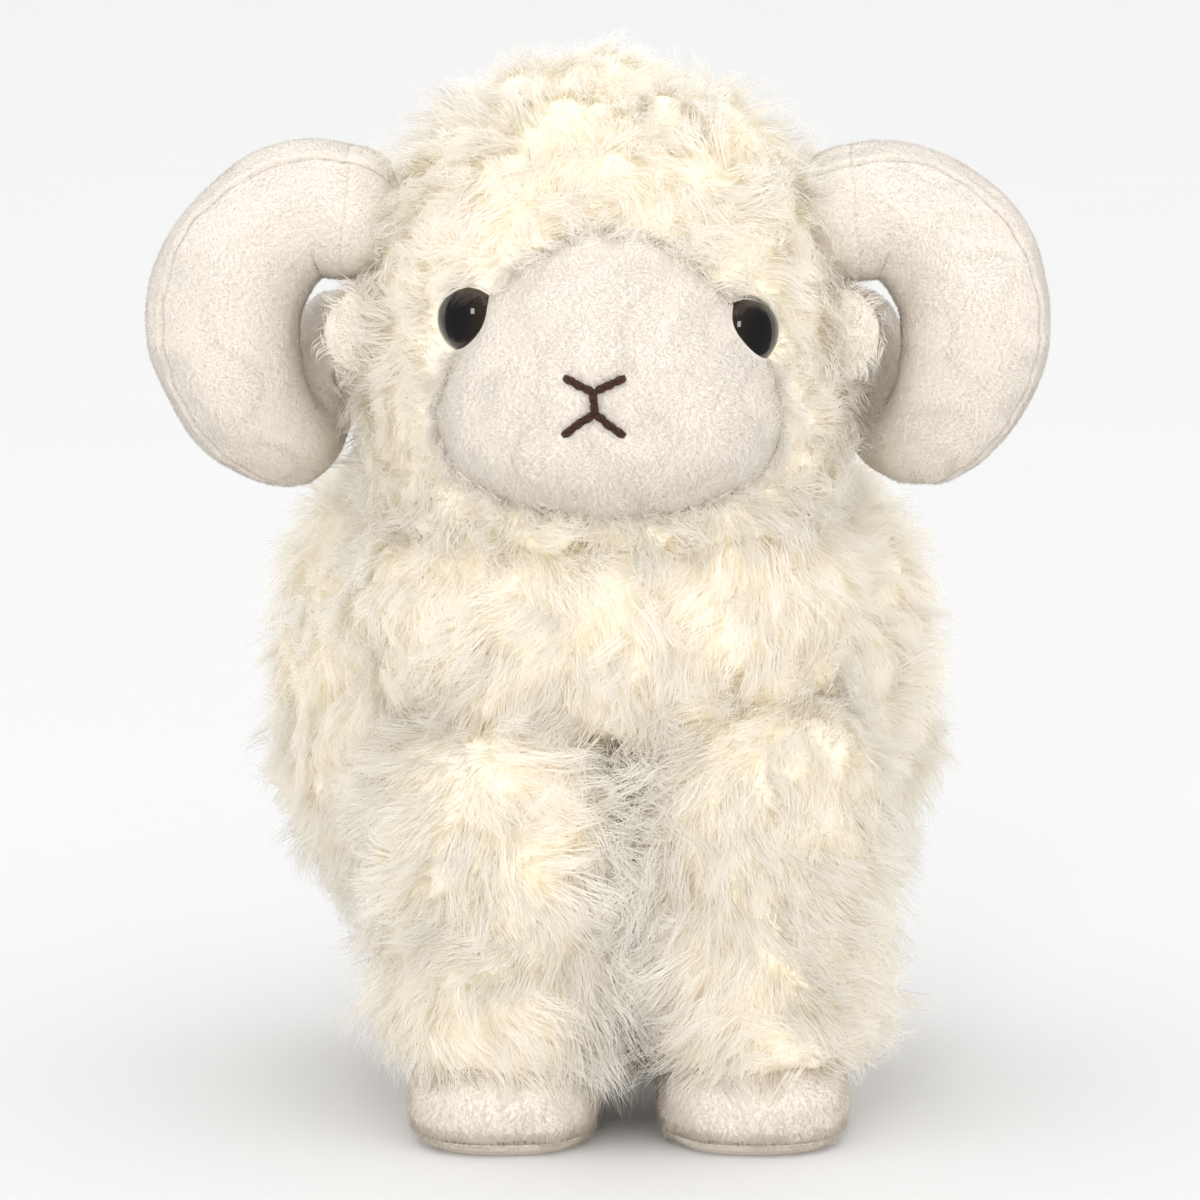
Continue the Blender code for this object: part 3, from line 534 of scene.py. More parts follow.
# Styles of pile: spacing of tufts and locks, fibres in a lock, and how fibres lie
SHAGGY = dict(
    tuft=0.0150, lock=0.0034, fibres=17, length=0.0122, lift=0.54, swirl=1.0, swirl_length=0.06,
    tuft_stray=0.6, lock_stray=0.12, fan=0.70, even=0.50, spread=0.90, clump=0.30, curl=0.0016,
    turns=0.9, stray=0.0005, roll=0.30, sections=4, sink=0.0006, dome=0.0028, reach=1.0,
)
LEG_SHAG = dict(SHAGGY, length=0.0126, tuft=0.0140, lift=0.60)
TAIL_SHAG = dict(SHAGGY, length=0.0100, tuft=0.0080, lock=0.0032, swirl=0.4)
CURLY = dict(
    SHAGGY, tuft=0.0120, lock=0.0031, fibres=16, length=0.0105, lift=0.58, swirl=1.5, swirl_length=0.045,
    tuft_stray=0.9, lock_stray=0.25, clump=0.40, curl=0.0019, turns=1.0, sections=5,
)
EAR_FLEECE = dict(CURLY, tuft=0.0060, lock=0.0025, fibres=12, length=0.0052, curl=0.0007)
FACE_FRINGE = dict(
    CURLY, tuft=0.0060, lock=0.0020, fibres=12, length=0.0064, lift=0.50, swirl=1.6,
    curl=0.0009, stray=0.0007, even=0.0, sections=4,
)
# Undercoat: a reach of 0.50 keeps it in the darker, yellower root colours, painted warm shade in the partings
FLUFF = dict(
    SHAGGY, tuft=0.0060, lock=0.0032, fibres=6, length=0.0040, lift=0.60, swirl=3.0, swirl_length=0.02,
    tuft_stray=1.5, lock_stray=1.2, fan=0.0, even=0.0, clump=0.2, curl=0.0006, turns=0.7,
    stray=0.0009, roll=0.6, sections=3, reach=0.50,
)

# Depths of the cloths of body, hood and legs under the solids' surface, and where the coat's halves meet
SKIN_INSET = 0.0050
HOOD_INSET = 0.0042
LEG_INSET = 0.0024
COAT_SPLIT = 0.020


# Materials

def new_material(name):
    """A node material, its tree and its Principled shader."""
    material = bpy.data.materials.new(name)
    material.use_nodes = True
    return material, material.node_tree, material.node_tree.nodes["Principled BSDF"]


def feed(tree, node, sockets):
    """Set inputs of a node, each to a value or to the output that feeds it."""
    for key, value in sockets.items():
        if isinstance(value, bpy.types.NodeSocket):
            tree.links.new(value, node.inputs[key])
        else:
            node.inputs[key].default_value = value


def wire(tree, kind, sockets=None, **settings):
    """The outputs of a new shader node with its settings and inputs."""
    node = tree.nodes.new("ShaderNode" + kind)
    for key, value in settings.items():
        setattr(node, key, value)
    feed(tree, node, sockets or {})
    return node.outputs


def noise(tree, scale, detail, roughness=0.5, distortion=0.0, place=None):
    """Fractal noise over object space, or over the vector that is given."""
    return wire(tree, "TexNoise", {
        "Vector": place or wire(tree, "TexCoord")["Object"],
        "Scale": scale, "Detail": detail, "Roughness": roughness, "Distortion": distortion,
    })["Fac"]


def ramp(tree, value, *stops):
    """The colour that a ramp gives to a value, from stops of a place and a colour in linear light."""
    colour = wire(tree, "ValToRGB", {"Fac": value})["Color"]
    elements = colour.node.color_ramp.elements
    while len(elements) < len(stops):
        elements.new(0.5)
    for element, (place, tint) in zip(elements, stops):
        element.position = place
        element.color = (*tint, 1.0)
    return colour


def between(tree, value, low, high):
    """A value from 0 to 1 spread evenly from low to high."""
    return wire(tree, "MapRange", {"Value": value, "To Min": low, "To Max": high})["Result"]


def new_group(name, inputs, outputs):
    """A shader node group with sockets of named kinds, the outputs of its input node and its output node."""
    group = bpy.data.node_groups.new(name, "ShaderNodeTree")
    for way, sockets in (("INPUT", inputs), ("OUTPUT", outputs)):
        for socket, kind in sockets.items():
            group.interface.new_socket(name=socket, in_out=way, socket_type="NodeSocket" + kind)
    return group, group.nodes.new("NodeGroupInput").outputs, group.nodes.new("NodeGroupOutput")


def pile_tint_and_shade_group():
    """Shader group that tints a fibre by its UV pair, root to tip and lock by lock.

    Root turns to middle over the lower 0.45 of the length and middle to tip above 0.35. All is then scaled
    by one plus Tone times what U has over a half. In the wool, the darker, yellower root is painted warm
    shade for the partings between tufts.
    """
    inputs = {"Root": "Color", "Middle": "Color", "Tip": "Color", "Tone": "Float"}
    group, given, result = new_group("pile_tint_and_painted_shade", inputs, {"Color": "Color"})
    split = wire(group, "SeparateXYZ", {"Vector": wire(group, "UVMap", uv_map="OFBake")["UV"]})
    low = wire(group, "MapRange", {"Value": split["Y"], "From Max": 0.45}, interpolation_type="SMOOTHSTEP")
    high = wire(group, "MapRange", {"Value": split["Y"], "From Min": 0.35})
    colour = given["Root"]
    for share, onward in ((low, "Middle"), (high, "Tip")):
        colour = wire(
            group, "Mix", {"Factor": share["Result"], "A": colour, "B": given[onward]}, data_type="RGBA"
        )["Result"]
    shift = wire(group, "Math", {0: split["X"], 1: 0.5}, operation="SUBTRACT")[0]
    scale = wire(group, "Math", {0: shift, 1: given["Tone"], 2: 1.0}, operation="MULTIPLY_ADD")[0]
    tint = wire(group, "VectorMath", {0: colour, "Scale": scale}, operation="SCALE")["Vector"]
    feed(group, result, {"Color": tint})
    return group


def grain_group():
    """Shader group of a cloth's grain: fine noise of a given scale, and a mottle, half soft and half fine."""
    group, given, result = new_group("cloth_grain", {"Scale": "Float"}, {"Fine": "Float", "Mottle": "Float"})
    soft = noise(group, 90.0, 3.0, 0.6)
    fine = noise(group, given["Scale"], 4.0, 0.7, 0.8)
    half = wire(group, "Math", {0: soft, 1: 0.5}, operation="MULTIPLY")[0]
    mottle = wire(group, "Math", {0: fine, 1: 0.5, 2: half}, operation="MULTIPLY_ADD")[0]
    feed(group, result, {"Fine": fine, "Mottle": mottle})
    return group


def pile_material(name, group, root, middle, tip, tone, through):
    """Fibre material: colour from the pile group, matt, with a share of the light let through."""
    material, tree, shader = new_material(name)
    colour = wire(tree, "Group", {
        "Root": (*root, 1.0), "Middle": (*middle, 1.0), "Tip": (*tip, 1.0), "Tone": tone,
    }, node_tree=group)["Color"]
    feed(tree, shader, {"Base Color": colour, "Roughness": 0.85, "Specular IOR Level": 0.2})
    behind = wire(tree, "BsdfTranslucent", {"Color": colour})["BSDF"]
    both = wire(tree, "MixShader", {"Fac": through, 1: shader.outputs["BSDF"], 2: behind})["Shader"]
    feed(tree, tree.nodes["Material Output"], {"Surface": both})
    return material


def cloth_material(name, group, low, high, scale, depth, sheen):
    """Backing or plush skin: colour from the mottle of the grain group, and its fine noise as bump."""
    material, tree, shader = new_material(name)
    grain = wire(tree, "Group", {"Scale": scale}, node_tree=group)
    bump = wire(tree, "Bump", {"Height": grain["Fine"], "Strength": depth, "Distance": 0.0006})
    feed(tree, shader, {
        "Base Color": ramp(tree, grain["Mottle"], (0.32, low), (0.68, high)), "Normal": bump["Normal"],
        "Roughness": 0.92, "Sheen Weight": sheen, "Sheen Roughness": 0.5, "Specular IOR Level": 0.2,
    })
    return material


def eye_material():
    """Polished black plastic, faintly brown towards the rim as a painted reflection, with barely uneven gloss.
    """
    material, tree, shader = new_material("eye_gloss")
    split = wire(tree, "SeparateXYZ", {"Vector": wire(tree, "UVMap", uv_map="OFBake")["UV"]})
    feed(tree, shader, {
        # Black in the middle to brown at the rim: painted reflection on the dome's rim
        "Base Color": ramp(tree, split["Y"], (0.30, (0.003, 0.003, 0.004)), (0.62, (0.020, 0.012, 0.007))),
        "Roughness": between(tree, noise(tree, 420.0, 2.0), 0.04, 0.09),
        "IOR": 1.5, "Coat Weight": 0.6, "Coat Roughness": 0.02,
    })
    return material


def thread_material():
    """Brown embroidery thread: strands mottled darker and lighter along their length, with a silky grain along
    them.
    """
    material, tree, shader = new_material("brown_thread")
    uv = wire(tree, "UVMap", uv_map="OFBake")["UV"]
    along = wire(tree, "Mapping", {"Vector": uv, "Scale": (60.0, 9.0, 1.0)})["Vector"]
    grain = noise(tree, 1.0, 4.0, 0.7, place=along)
    browns = (0.25, (0.020, 0.005, 0.003)), (0.60, (0.060, 0.016, 0.009)), (0.9, (0.115, 0.036, 0.021))
    feed(tree, shader, {
        "Base Color": ramp(tree, grain, *browns),
        "Normal": wire(tree, "Bump", {"Height": grain, "Strength": 0.5, "Distance": 0.0001})["Normal"],
        "Roughness": 0.6, "Sheen Weight": 0.15,
    })
    return material


def washer_material():
    """Natural moulded plastic with a faint flow mottle."""
    material, tree, shader = new_material("washer_moulded")
    flow = noise(tree, 300.0, 3.0)
    feed(tree, shader, {
        "Base Color": ramp(tree, flow, (0.3, (0.68, 0.68, 0.66)), (0.7, (0.77, 0.77, 0.75))),
        "Roughness": between(tree, flow, 0.42, 0.55),
    })
    return material


# Coat of the body, chest, legs and tail

def lumpy(grid, depth, length, seed):
    """The grid moved along its normals by smooth noise, so that the cloth under the pile bulges unevenly."""
    normal = grid_normals(grid)[0]
    return grid + depth * waves(grid, length, seed)[..., None] * normal


def dipped(form, rings, around, depth):
    """A form's grid with dips towards its centre between the tufts, none at its ends and by seams.

    A dip is half its depth less a third of it times the sum of sine by cosine over each pair of coordinates.
    """
    grid = form.grid(rings, around)
    turn = grid * 2 * math.pi / RELIEF_WAVE
    swell = (np.sin(turn) * np.cos(np.roll(turn, -1, axis=-1))).sum(axis=-1)
    away = np.linalg.norm(grid[..., None, :] - np.array(STILL_PLACES), axis=-1).min(axis=-1)
    begin = np.clip(smooth_rows(form.rows, rings)[:, 1] / RELIEF_END, 0, 1)[:, None]
    dip = depth * (0.5 - swell / 3) * np.clip(away / RELIEF_QUIET - 1, 0, 1) * begin
    return grid + dip[..., None] * unit(form.centre - grid)


def leg_form(end, side, grow=0.0):
    """The form of one leg's sleeve."""
    centre = (STANCE_SHIFT + side * LEG_SPREAD, LEG_DEPTHS[end], LEG_HEM + LEG_HALF[2])
    return Form((centre, LEG_HALF, LEG_FULLNESS, LEG_ROWS), grow)


def outside(root, forms, share=0.95):
    """True for roots that lie outside all the forms."""
    mask = np.ones(len(root), dtype=bool)
    for form in forms:
        mask &= form.ratio(root) > share
    return mask


def pushed(pile, forms):
    """The pile with every point but its roots moved out of the forms."""
    for form in forms:
        pile["points"][:, 1:] = form.push_out(pile["points"][:, 1:])
    return pile


def build_coat(looks):
    """Backing cloth and shaggy pile of body and chest."""
    body, chest = Form(BODY, -SKIN_INSET), Form(CHEST, -SKIN_INSET)
    body_grid, chest_grid = (
        tufted(dipped(form, 84, around, BODY_RELIEF), SHAGGY, seed)
        for form, around, seed in ((body, 126, 100), (chest, 130, 200))
    )
    make_skin("body_cloth", body_grid, looks["backing"], ("body_cover", "body_stuffing"))
    make_skin("chest_cloth", chest_grid, looks["backing"], ())
    others = [Form(HEAD, -HOOD_INSET)]
    others += [leg_form(end, side, -SKIN_INSET) for end in LEG_DEPTHS for side, _ in SIDES]

    def grow(grid, hidden, seed):
        return [
            grow_pile(grid, style, seed + more, lambda root, normal: outside(root, hidden))
            for style, more in ((SHAGGY, 0), (FLUFF, 50))
        ]

    piles = grow(body_grid, [chest, *others], 100)
    for part, front in (("shoulder", True), ("rump", False)):
        ends = [choose(pile, (pile["points"][:, 0, 1] < COAT_SPLIT) == front) for pile in piles]
        for side, word in SIDES:
            halves = [rooted(pile, side, BODY[0][0]) for pile in ends]
            make_pile(f"coat_{word}_{part}", halves, looks["wool"])
    piles = grow(chest_grid, [body, *others], 200)
    make_pile("coat_chest", piles, looks["wool"])


def comb_leg(normal, points, swirl, swirl_length, seed):
    """Leg pile lies downhill, out of and over the groove where two legs meet, turned by smooth noise."""
    groove = bell(points[:, 0] - STANCE_SHIFT, 0.018)
    along = -2.4 * groove * np.sign(-points[:, 1]) * np.abs(normal[:, 0]) ** 3
    across = -3.0 * groove * np.sign(points[:, 0] - STANCE_SHIFT) * np.abs(normal[:, 1])
    down = np.column_stack([across, along, np.full(len(points), -1.0)])
    turn = swirl * (1 - 0.6 * groove) * slope(points[:, 2], LEG_HEM, 0.020, 0.1)
    return laid(down, normal, points, turn, swirl_length, seed)


def hem_trim(root):
    """Share of full length that a leg's pile keeps: less near the hem, more in the groove and low outside."""
    across = np.abs(root[:, 0] - STANCE_SHIFT)
    low_side = slope(across, 0.035, 0.018) * slope(root[:, 2], 0.062, -0.030)
    return slope(root[:, 2], LEG_HEM - 0.017, 0.028, 0.60) * (1 + 0.7 * bell(across, 0.014) + 0.1 * low_side)


def build_legs(looks):
    """Leg sleeves with shaggy pile, the wool that bridges the front legs, and the feet and soles."""
    above = [Form(BODY, -SKIN_INSET), Form(CHEST, -SKIN_INSET)]
    seed = 300
    for end in LEG_DEPTHS:
        for side, word in SIDES:
            seed += 10
            name = end + "_" + word
            sleeve = lumpy(leg_form(end, side, -LEG_INSET).grid(70, 100), 0.0010, 0.025, seed)
            grid = tufted(sleeve, LEG_SHAG, seed)
            replaced = (name + "_leg_sleeve", name + "_leg_stuffing")
            make_skin(name + "_leg_cloth", grid, looks["backing"], replaced)
            hidden = [*above, leg_form(end, -side, -LEG_INSET)]
            foot = Form((foot_centre(end, side), FOOT_HALF, FOOT_FULLNESS, None), 0.0004)

            def keep(root, normal):
                return outside(root, hidden) & (normal[:, 2] > -0.7)

            piles = [
                pushed(grow_pile(grid, style, seed, keep, comb_leg, hem_trim, LEGS_AROUND), [foot])
                for style in (LEG_SHAG, FLUFF)
            ]
            if (end, side) == ("front", -1):
                piles.append(grow_pile(
                    Form(GROOVE).grid(60, 48), LEG_SHAG, 390,
                    lambda root, normal: outside(root, above) & (normal[:, 1] < -0.1), None, None, LEGS_AROUND,
                ))
            make_pile(name + "_leg_wool", piles, looks["wool"])
            build_foot(name, end, side, seed, looks)


def foot_centre(end, side):
    """Centre of a foot's form over its sole."""
    place = leg_form(end, side).centre
    return (place[0], place[1] - FOOT_FORWARD, SOLE_THICKNESS + CLEARANCE + FOOT_CUT * FOOT_HALF[2])


def build_foot(name, end, side, seed, looks):
    """A foot with its sole: short plush over a cup that is sewn to the sole with a small puckered ridge."""
    centre = foot_centre(end, side)
    rows = round_rows(FOOT_FULLNESS, 65)
    low = np.interp(-FOOT_CUT, rows[:, 0], rows[:, 1])
    rows = rows[rows[:, 0] > -FOOT_CUT + 0.02]
    start = [(-FOOT_CUT, 0, 0, 0), (-FOOT_CUT, low * 0.97, low * 0.97, 0), (-FOOT_CUT + 0.012, low, low, 0)]
    grid = Form((centre, FOOT_HALF, FOOT_FULLNESS, np.vstack([start, rows]))).grid(44, 72)
    out = grid - np.array(centre)
    out[..., 2] = 0
    ridge = bell(grid[..., 2] - SOLE_THICKNESS - 0.0010, 0.0006)
    pucker = 1 + 0.35 * np.sin(np.arctan2(out[..., 1], out[..., 0]) * 38)
    grid = lumpy(grid + (0.00012 * ridge * pucker)[..., None] * unit(out), 0.0004, 0.012, seed + 1)
    make_skin(name + "_foot_plush", grid, looks["plush"], (name + "_foot",))
    low *= 0.975
    sole_rows = [(height, low * width, low * width, 0) for height, width in SOLE_ROWS]
    sole_half = (FOOT_HALF[0], FOOT_HALF[1], SOLE_THICKNESS)
    sole_grid = Form(((*centre[:2], 0.0), sole_half, FOOT_FULLNESS, sole_rows)).grid(26, 72)
    sole_grid[..., 2] = np.clip(sole_grid[..., 2], 0.0, SOLE_THICKNESS)
    make_skin(name + "_sole_plush", sole_grid, looks["plush"], (name + "_sole",))
    naps = [
        grow_nap(grid, 4.5e6, seed + 2, lambda root, normal: root[:, 2] < FOOT_NAP_TOP, 0.3, 0.0015),
        grow_nap(grid, 5.0e6, seed + 4, lambda root, normal: root[:, 2] < FOOT_FRINGE_TOP, 0.2, 0.0044, 0.20),
    ]
    make_pile(name + "_shaded_foot_nap", naps, looks["shaded_foot_nap"], "sheep", NAP_WIDTH)
    nap = grow_nap(sole_grid, 5.0e6, seed + 3, lambda root, normal: normal[:, 2] > -0.4, 0.3, 0.0016)
    make_pile(name + "_sole_nap", [nap], looks["shaded_foot_nap"], "sheep", NAP_WIDTH)


def grow_nap(grid, density, seed, keep, swirl, length=NAP_LENGTH, mean_lift=NAP_LIFT):
    """Short nap: one small strip for each fibre, leaning downhill and turned by smooth noise."""
    rng = np.random.default_rng(seed)
    area = grid_normals(grid)[1].sum()
    root, normal = scatter(grid, int(area * density), seed, keep)
    flow = comb_down(normal, root, swirl * 2.2, 0.016, seed + 1)
    flow = turn_about(flow, normal, rng.normal(0, 0.45, len(root)))
    lift = mean_lift * rng.uniform(0.6, 1.3, len(root))
    reach = length * rng.uniform(0.6, 1.15, len(root))
    along = reach * np.sqrt(1 - np.clip(lift, 0, 0.95) ** 2)
    tip = root + (reach * lift)[:, None] * normal + along[:, None] * flow
    start = root - 0.00012 * normal
    tone = np.clip(0.5 + 0.3 * waves(root, 0.009, seed + 2) + rng.normal(0, 0.12, len(root)), 0.02, 0.98)
    return {
        "points": np.stack([start, tip], axis=1),
        "normal": normal,
        "shading": unit(normal + rng.normal(0, 0.09, normal.shape)),
        "tone": tone,
        "roll": rng.normal(0, 0.5, len(root)),
        "reach": np.ones(len(root)),
    }


def build_tail(looks):
    """The short tail: a hanging teardrop of cloth with shaggy pile."""
    grid = Form(TAIL).grid(30, 32)
    make_skin("tail_cloth", grid, looks["backing"], ("tail",), "tail")
    body = Form(BODY, 0.0002)
    pile = grow_pile(grid, TAIL_SHAG, 700, lambda root, normal: outside(root, [body], 1.0))
    make_pile("tail_wool", [pushed(pile, [body])], looks["wool"], "tail")


# Head: hood, face, eyes, mouth, ears and horns

def comb_hood(normal, points, swirl, swirl_length, seed):
    """Hood pile lies downhill, away from the face beside and below it, and turned by smooth noise."""
    away = points - (np.array(FACE[0]) + (0, 0, 0.004))
    away[:, 1] = 0
    near = np.exp(-slope(np.linalg.norm(away, axis=1), 0.036, 0.012, 0, 9)) * (points[:, 1] < -0.060)
    flow = np.array([0.0, 0.0, -1.0]) + (1.6 * near * slope(points[:, 2], 0.208, -0.012))[:, None] * unit(away)
    return laid(flow, normal, points, swirl * (1 - 0.75 * near), swirl_length, seed)


def build_hood(looks):
    """Backing cloth and curly pile of the head and neck, with a fringe round the face."""
    grid = tufted(dipped(Form(HEAD, -HOOD_INSET), 84, 112, HEAD_RELIEF), CURLY, 400)
    make_skin("hood_cloth", grid, looks["backing"], ("head_hood", "head_stuffing"))
    hidden = [Form(CHEST, -SKIN_INSET), Form(BODY, -SKIN_INSET), Form(FACE, -0.0015)]
    face = Form(FACE, 0.0004)
    edge = Form(HEAD, -0.0012)
    piles = [grow_pile(
        Form(FACE, -0.0004).grid(110, 150), FACE_FRINGE, 450,
        lambda root, normal: in_fringe(root, edge), comb_hood, None, (np.array(HEAD[0]), np.array(HEAD[1])),
    )]
    for style in (CURLY, FLUFF):
        pile = grow_pile(grid, style, 400, lambda root, normal: outside(root, hidden), comb_hood, fringe_trim)
        piles.append(pushed(pile, [face]))
    piles = [clear_of_eyes(pile) for pile in piles]
    for side, word in SIDES:
        halves = [rooted(pile, side, HEAD[0][0]) for pile in piles]
        make_pile("hood_wool_" + word, halves, looks["wool"], "sheep")


def in_fringe(root, edge):
    """True for places on the face that lie just under the hood's edge in front."""
    out = edge.ratio(root)
    return (root[:, 1] < -0.052) & (out > 0.88) & (out < 1.01)


def fringe_trim(root):
    """Share of full length that hood pile keeps: less by the face's edge and on top, more beside the top."""
    near = Form(FACE).ratio(root)
    face = np.where(root[:, 1] < -0.055, slope(near, 0.75, 0.60, 0.45), 1.0)
    top = slope(root[:, 2], 0.235, 0.012)
    shoulder = bell(root[:, 2] - 0.226, 0.012) * slope(np.abs(root[:, 0]), 0.012, 0.016)
    return face * (1 - 0.35 * top + 0.35 * shoulder)


def eye_place(side):
    """Centre of an eye's base and the direction in which it looks."""
    centre = np.array([FACE[0][0] + side * EYE_SPREAD, -EYE_DEPTH, EYE_LEVEL - side * EYE_TILT])
    return centre, np.array([side * math.sin(EYE_TURN), -math.cos(EYE_TURN), 0.0])


def clear_of_eyes(pile):
    """The pile bent round the eyes: points in a dome, or in front of it, move out to its edge.

    Fibres that are rooted there or come near the middle go.
    """
    points = pile["points"]
    keep = np.ones(len(points), dtype=bool)
    for side, _ in SIDES:
        centre, look = eye_place(side)
        for ahead, stretch, share in ((look, EYE_RADIUS / EYE_HEIGHT, 1.02), (-BACK, 0.0, 0.94)):
            away = points - centre
            along = away @ ahead
            kept = away - along[..., None] * ahead
            out = np.linalg.norm(kept + stretch * along[..., None] * ahead, axis=2) / (share * EYE_RADIUS)
            inside = (out < 1) & (along > -0.001)
            keep &= ~(inside[:, 0] | (inside & (out < 0.6)).any(axis=1))
            shift = np.where(inside, 1 / np.maximum(out, 0.3) - 1, 0.0)
            points = points + shift[..., None] * (away if stretch else kept)
    return choose({**pile, "points": points}, keep)


def face_front(across, height):
    """Depth of the face's front surface at places across and up: shift less depth times the outline's bulge."""
    face = Form(FACE)
    width, depth, shift = face.shares(height, 200)
    side = np.abs(across - face.centre[0]) / (face.half[0] * width)
    return face.centre[1] + face.half[1] * (shift - depth * face.bulge(np.clip(side, 0, 1)))


def mouth_strokes():
    """Ends of the five strokes of nose and mouth, as pairs of places across and up."""
    top = np.array(MOUTH_JOIN)
    low = top - [0, PHILTRUM]
    arms = (top, NOSE_SPREAD, NOSE_RISE), (low, MOUTH_SPREAD, -MOUTH_DROP)
    return [(top, low)] + [(at, at + [side * spread, rise]) for at, spread, rise in arms for side, _ in SIDES]


def stroke_distance(points):
    """Distance in the front view from points to the nearest stroke of the mouth."""
    flat = points[..., [0, 2]]
    best = np.full(flat.shape[:-1], 9.0)
    for start, end in mouth_strokes():
        along = np.clip(((flat - start) @ (end - start)) / ((end - start) @ (end - start)), 0, 1)
        best = np.minimum(best, np.linalg.norm(flat - start - along[..., None] * (end - start), axis=-1))
    return best


def build_face(looks):
    """The face of short plush, drawn in along the stitches of nose and mouth, with its nap."""
    grid = Form(FACE).grid(110, 150)
    grid[..., 1] += 0.0009 * bell(stroke_distance(grid), 0.0022) * (grid[..., 1] < FACE[0][1])
    grid = lumpy(grid, 0.0003, 0.014, 31)
    make_skin("face_plush", grid, looks["plush"], ("face_panel",))
    hood = Form(HEAD, -HOOD_INSET)

    def keep(root, _):
        return (hood.ratio(root) > 0.97) & (root[:, 1] < -0.05) & (stroke_distance(root) > 0.0009)

    nap = grow_nap(grid, 9.0e6, 500, keep, 0.8)
    for side, _ in SIDES:
        away = nap["points"] - eye_place(side)[0]
        nap = choose(nap, (np.linalg.norm(away, axis=2) > EYE_RADIUS * 1.02).all(axis=1))
    make_pile("face_nap", [nap], looks["nap"], "sheep", NAP_WIDTH * 0.85)


def turned_grid(profile, centre, direction, around):
    """Rings of a profile of (distance along, radius) pairs turned round a direction."""
    axis = unit(np.asarray(direction, dtype=float))
    side = unit(np.cross(axis, (0.0, 0.0, 1.0) if abs(axis[2]) < 0.9 else (0.0, 1.0, 0.0)))
    up = np.cross(axis, side)
    ring = outline(around, 2.0)
    spread = ring[:, :1] * side + ring[:, 1:] * up
    profile = np.asarray(profile)
    return np.asarray(centre) + profile[:, 0, None, None] * axis + profile[:, 1, None, None] * spread[None]


def ring_uvs(grid):
    """One UV pair for each triangle corner of a skin: a constant, and the share of the way along the rings."""
    rings, around = grid.shape[:2]
    share = np.concatenate([[0.0], np.repeat(np.linspace(0, 1, rings)[1:-1], around), [1.0]])
    v = share[skin_triangles(rings, around).ravel()]
    return np.column_stack([np.full(len(v), 0.5), v])


def build_eyes(looks):
    """Domed safety eyes on their shanks, and the material of their washers."""
    angle = np.linspace(0, math.pi / 2, 26)
    dome = np.column_stack([EYE_HEIGHT * np.cos(angle), EYE_RADIUS * np.sin(angle)])
    for side, word in SIDES:
        centre, look = eye_place(side)
        grid = turned_grid(np.vstack([dome, EYE_STEM]), centre, look, 64)
        eye = make_piece(word + "_eye_dome", *closed_skin(grid), looks["eye"], ring_uvs(grid))
        dress(eye, "sheep", (word + "_eye",))
        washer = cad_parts[word + "_eye_washer"]
        washer.data.materials.clear()
        washer.data.materials.append(looks["washer"])


def tube_grid(path, radii, around):
    """Rings of a tube along a path: each ring's side is the last one's, made square to the path again."""
    along = unit(np.gradient(path, axis=0))
    side = np.zeros_like(path)
    last = BACK
    for index, onward in enumerate(along):
        last = unit(last - (last @ onward) * onward)
        side[index] = last
    up = np.cross(along, side)
    ring = outline(around, 2.0)
    spread = ring[None, :, :1] * side[:, None, :] + ring[None, :, 1:] * up[:, None, :]
    return path[:, None, :] + np.asarray(radii)[:, None, None] * spread


def stitch_grids(start, end, first, last, lift, rng):
    """The strands of one stitch between two shares of a stroke, which dive into the plush at both ends.

    Each strand winds round the stitch's middle, which bows out with the square root of a sine.
    """
    share = np.linspace(first, last, STITCH_RINGS)
    flat = start + share[:, None] * (end - start) + rng.normal(0, 0.00012, 2)
    arch = np.sin(np.linspace(0, math.pi, STITCH_RINGS))
    bow = arch**0.5
    depth = face_front(flat[:, 0], flat[:, 1]) + 0.0009 - 0.0011 * bow - lift
    middle = np.column_stack([flat[:, 0], depth, flat[:, 1]])
    across = unit(np.cross(unit(np.gradient(middle, axis=0)), BACK))
    turn = rng.uniform(0, 6) + np.linspace(0, 2.6, STITCH_RINGS)
    thick = 0.00040 * np.clip(arch**0.35, 0.0, 1)
    thick[[0, -1]] = 0
    for strand in range(STRANDS):
        angle = turn + strand * 2 * math.pi / STRANDS
        wind = np.cos(angle)[:, None] * across - 0.65 * np.sin(angle)[:, None] * BACK
        yield tube_grid(middle + (0.00060 * (0.35 + 0.65 * bow))[:, None] * wind, thick, 7)


def build_mouth(looks):
    """Nose and mouth in back stitches of twisted strands."""
    rng = np.random.default_rng(41)
    parts = []
    for start, end in mouth_strokes():
        stitches = max(2, round(np.linalg.norm(end - start) / STITCH_LENGTH))
        for stitch in range(stitches):
            first, last = max(0.0, (stitch - 0.25) / stitches), min(1.0, (stitch + 1.15) / stitches)
            for grid in stitch_grids(start, end, first, last, 0.0001 * (stitch % 2), rng):
                parts.append((*closed_skin(grid), ring_uvs(grid)))
    points, triangles, uvs = join_parts(parts)
    stitches = make_piece("mouth_stitches", points, triangles, looks["thread"], uvs)
    dress(stitches, "sheep", ("nose_mouth_embroidery",))


def head_side(depth, height):
    """Half width of the hood at a depth and a height."""
    form = Form(HEAD)
    width, length, _ = form.shares(height, 200)
    away = abs(depth - form.centre[1]) / (form.half[1] * length)
    return form.half[0] * width * form.bulge(away)


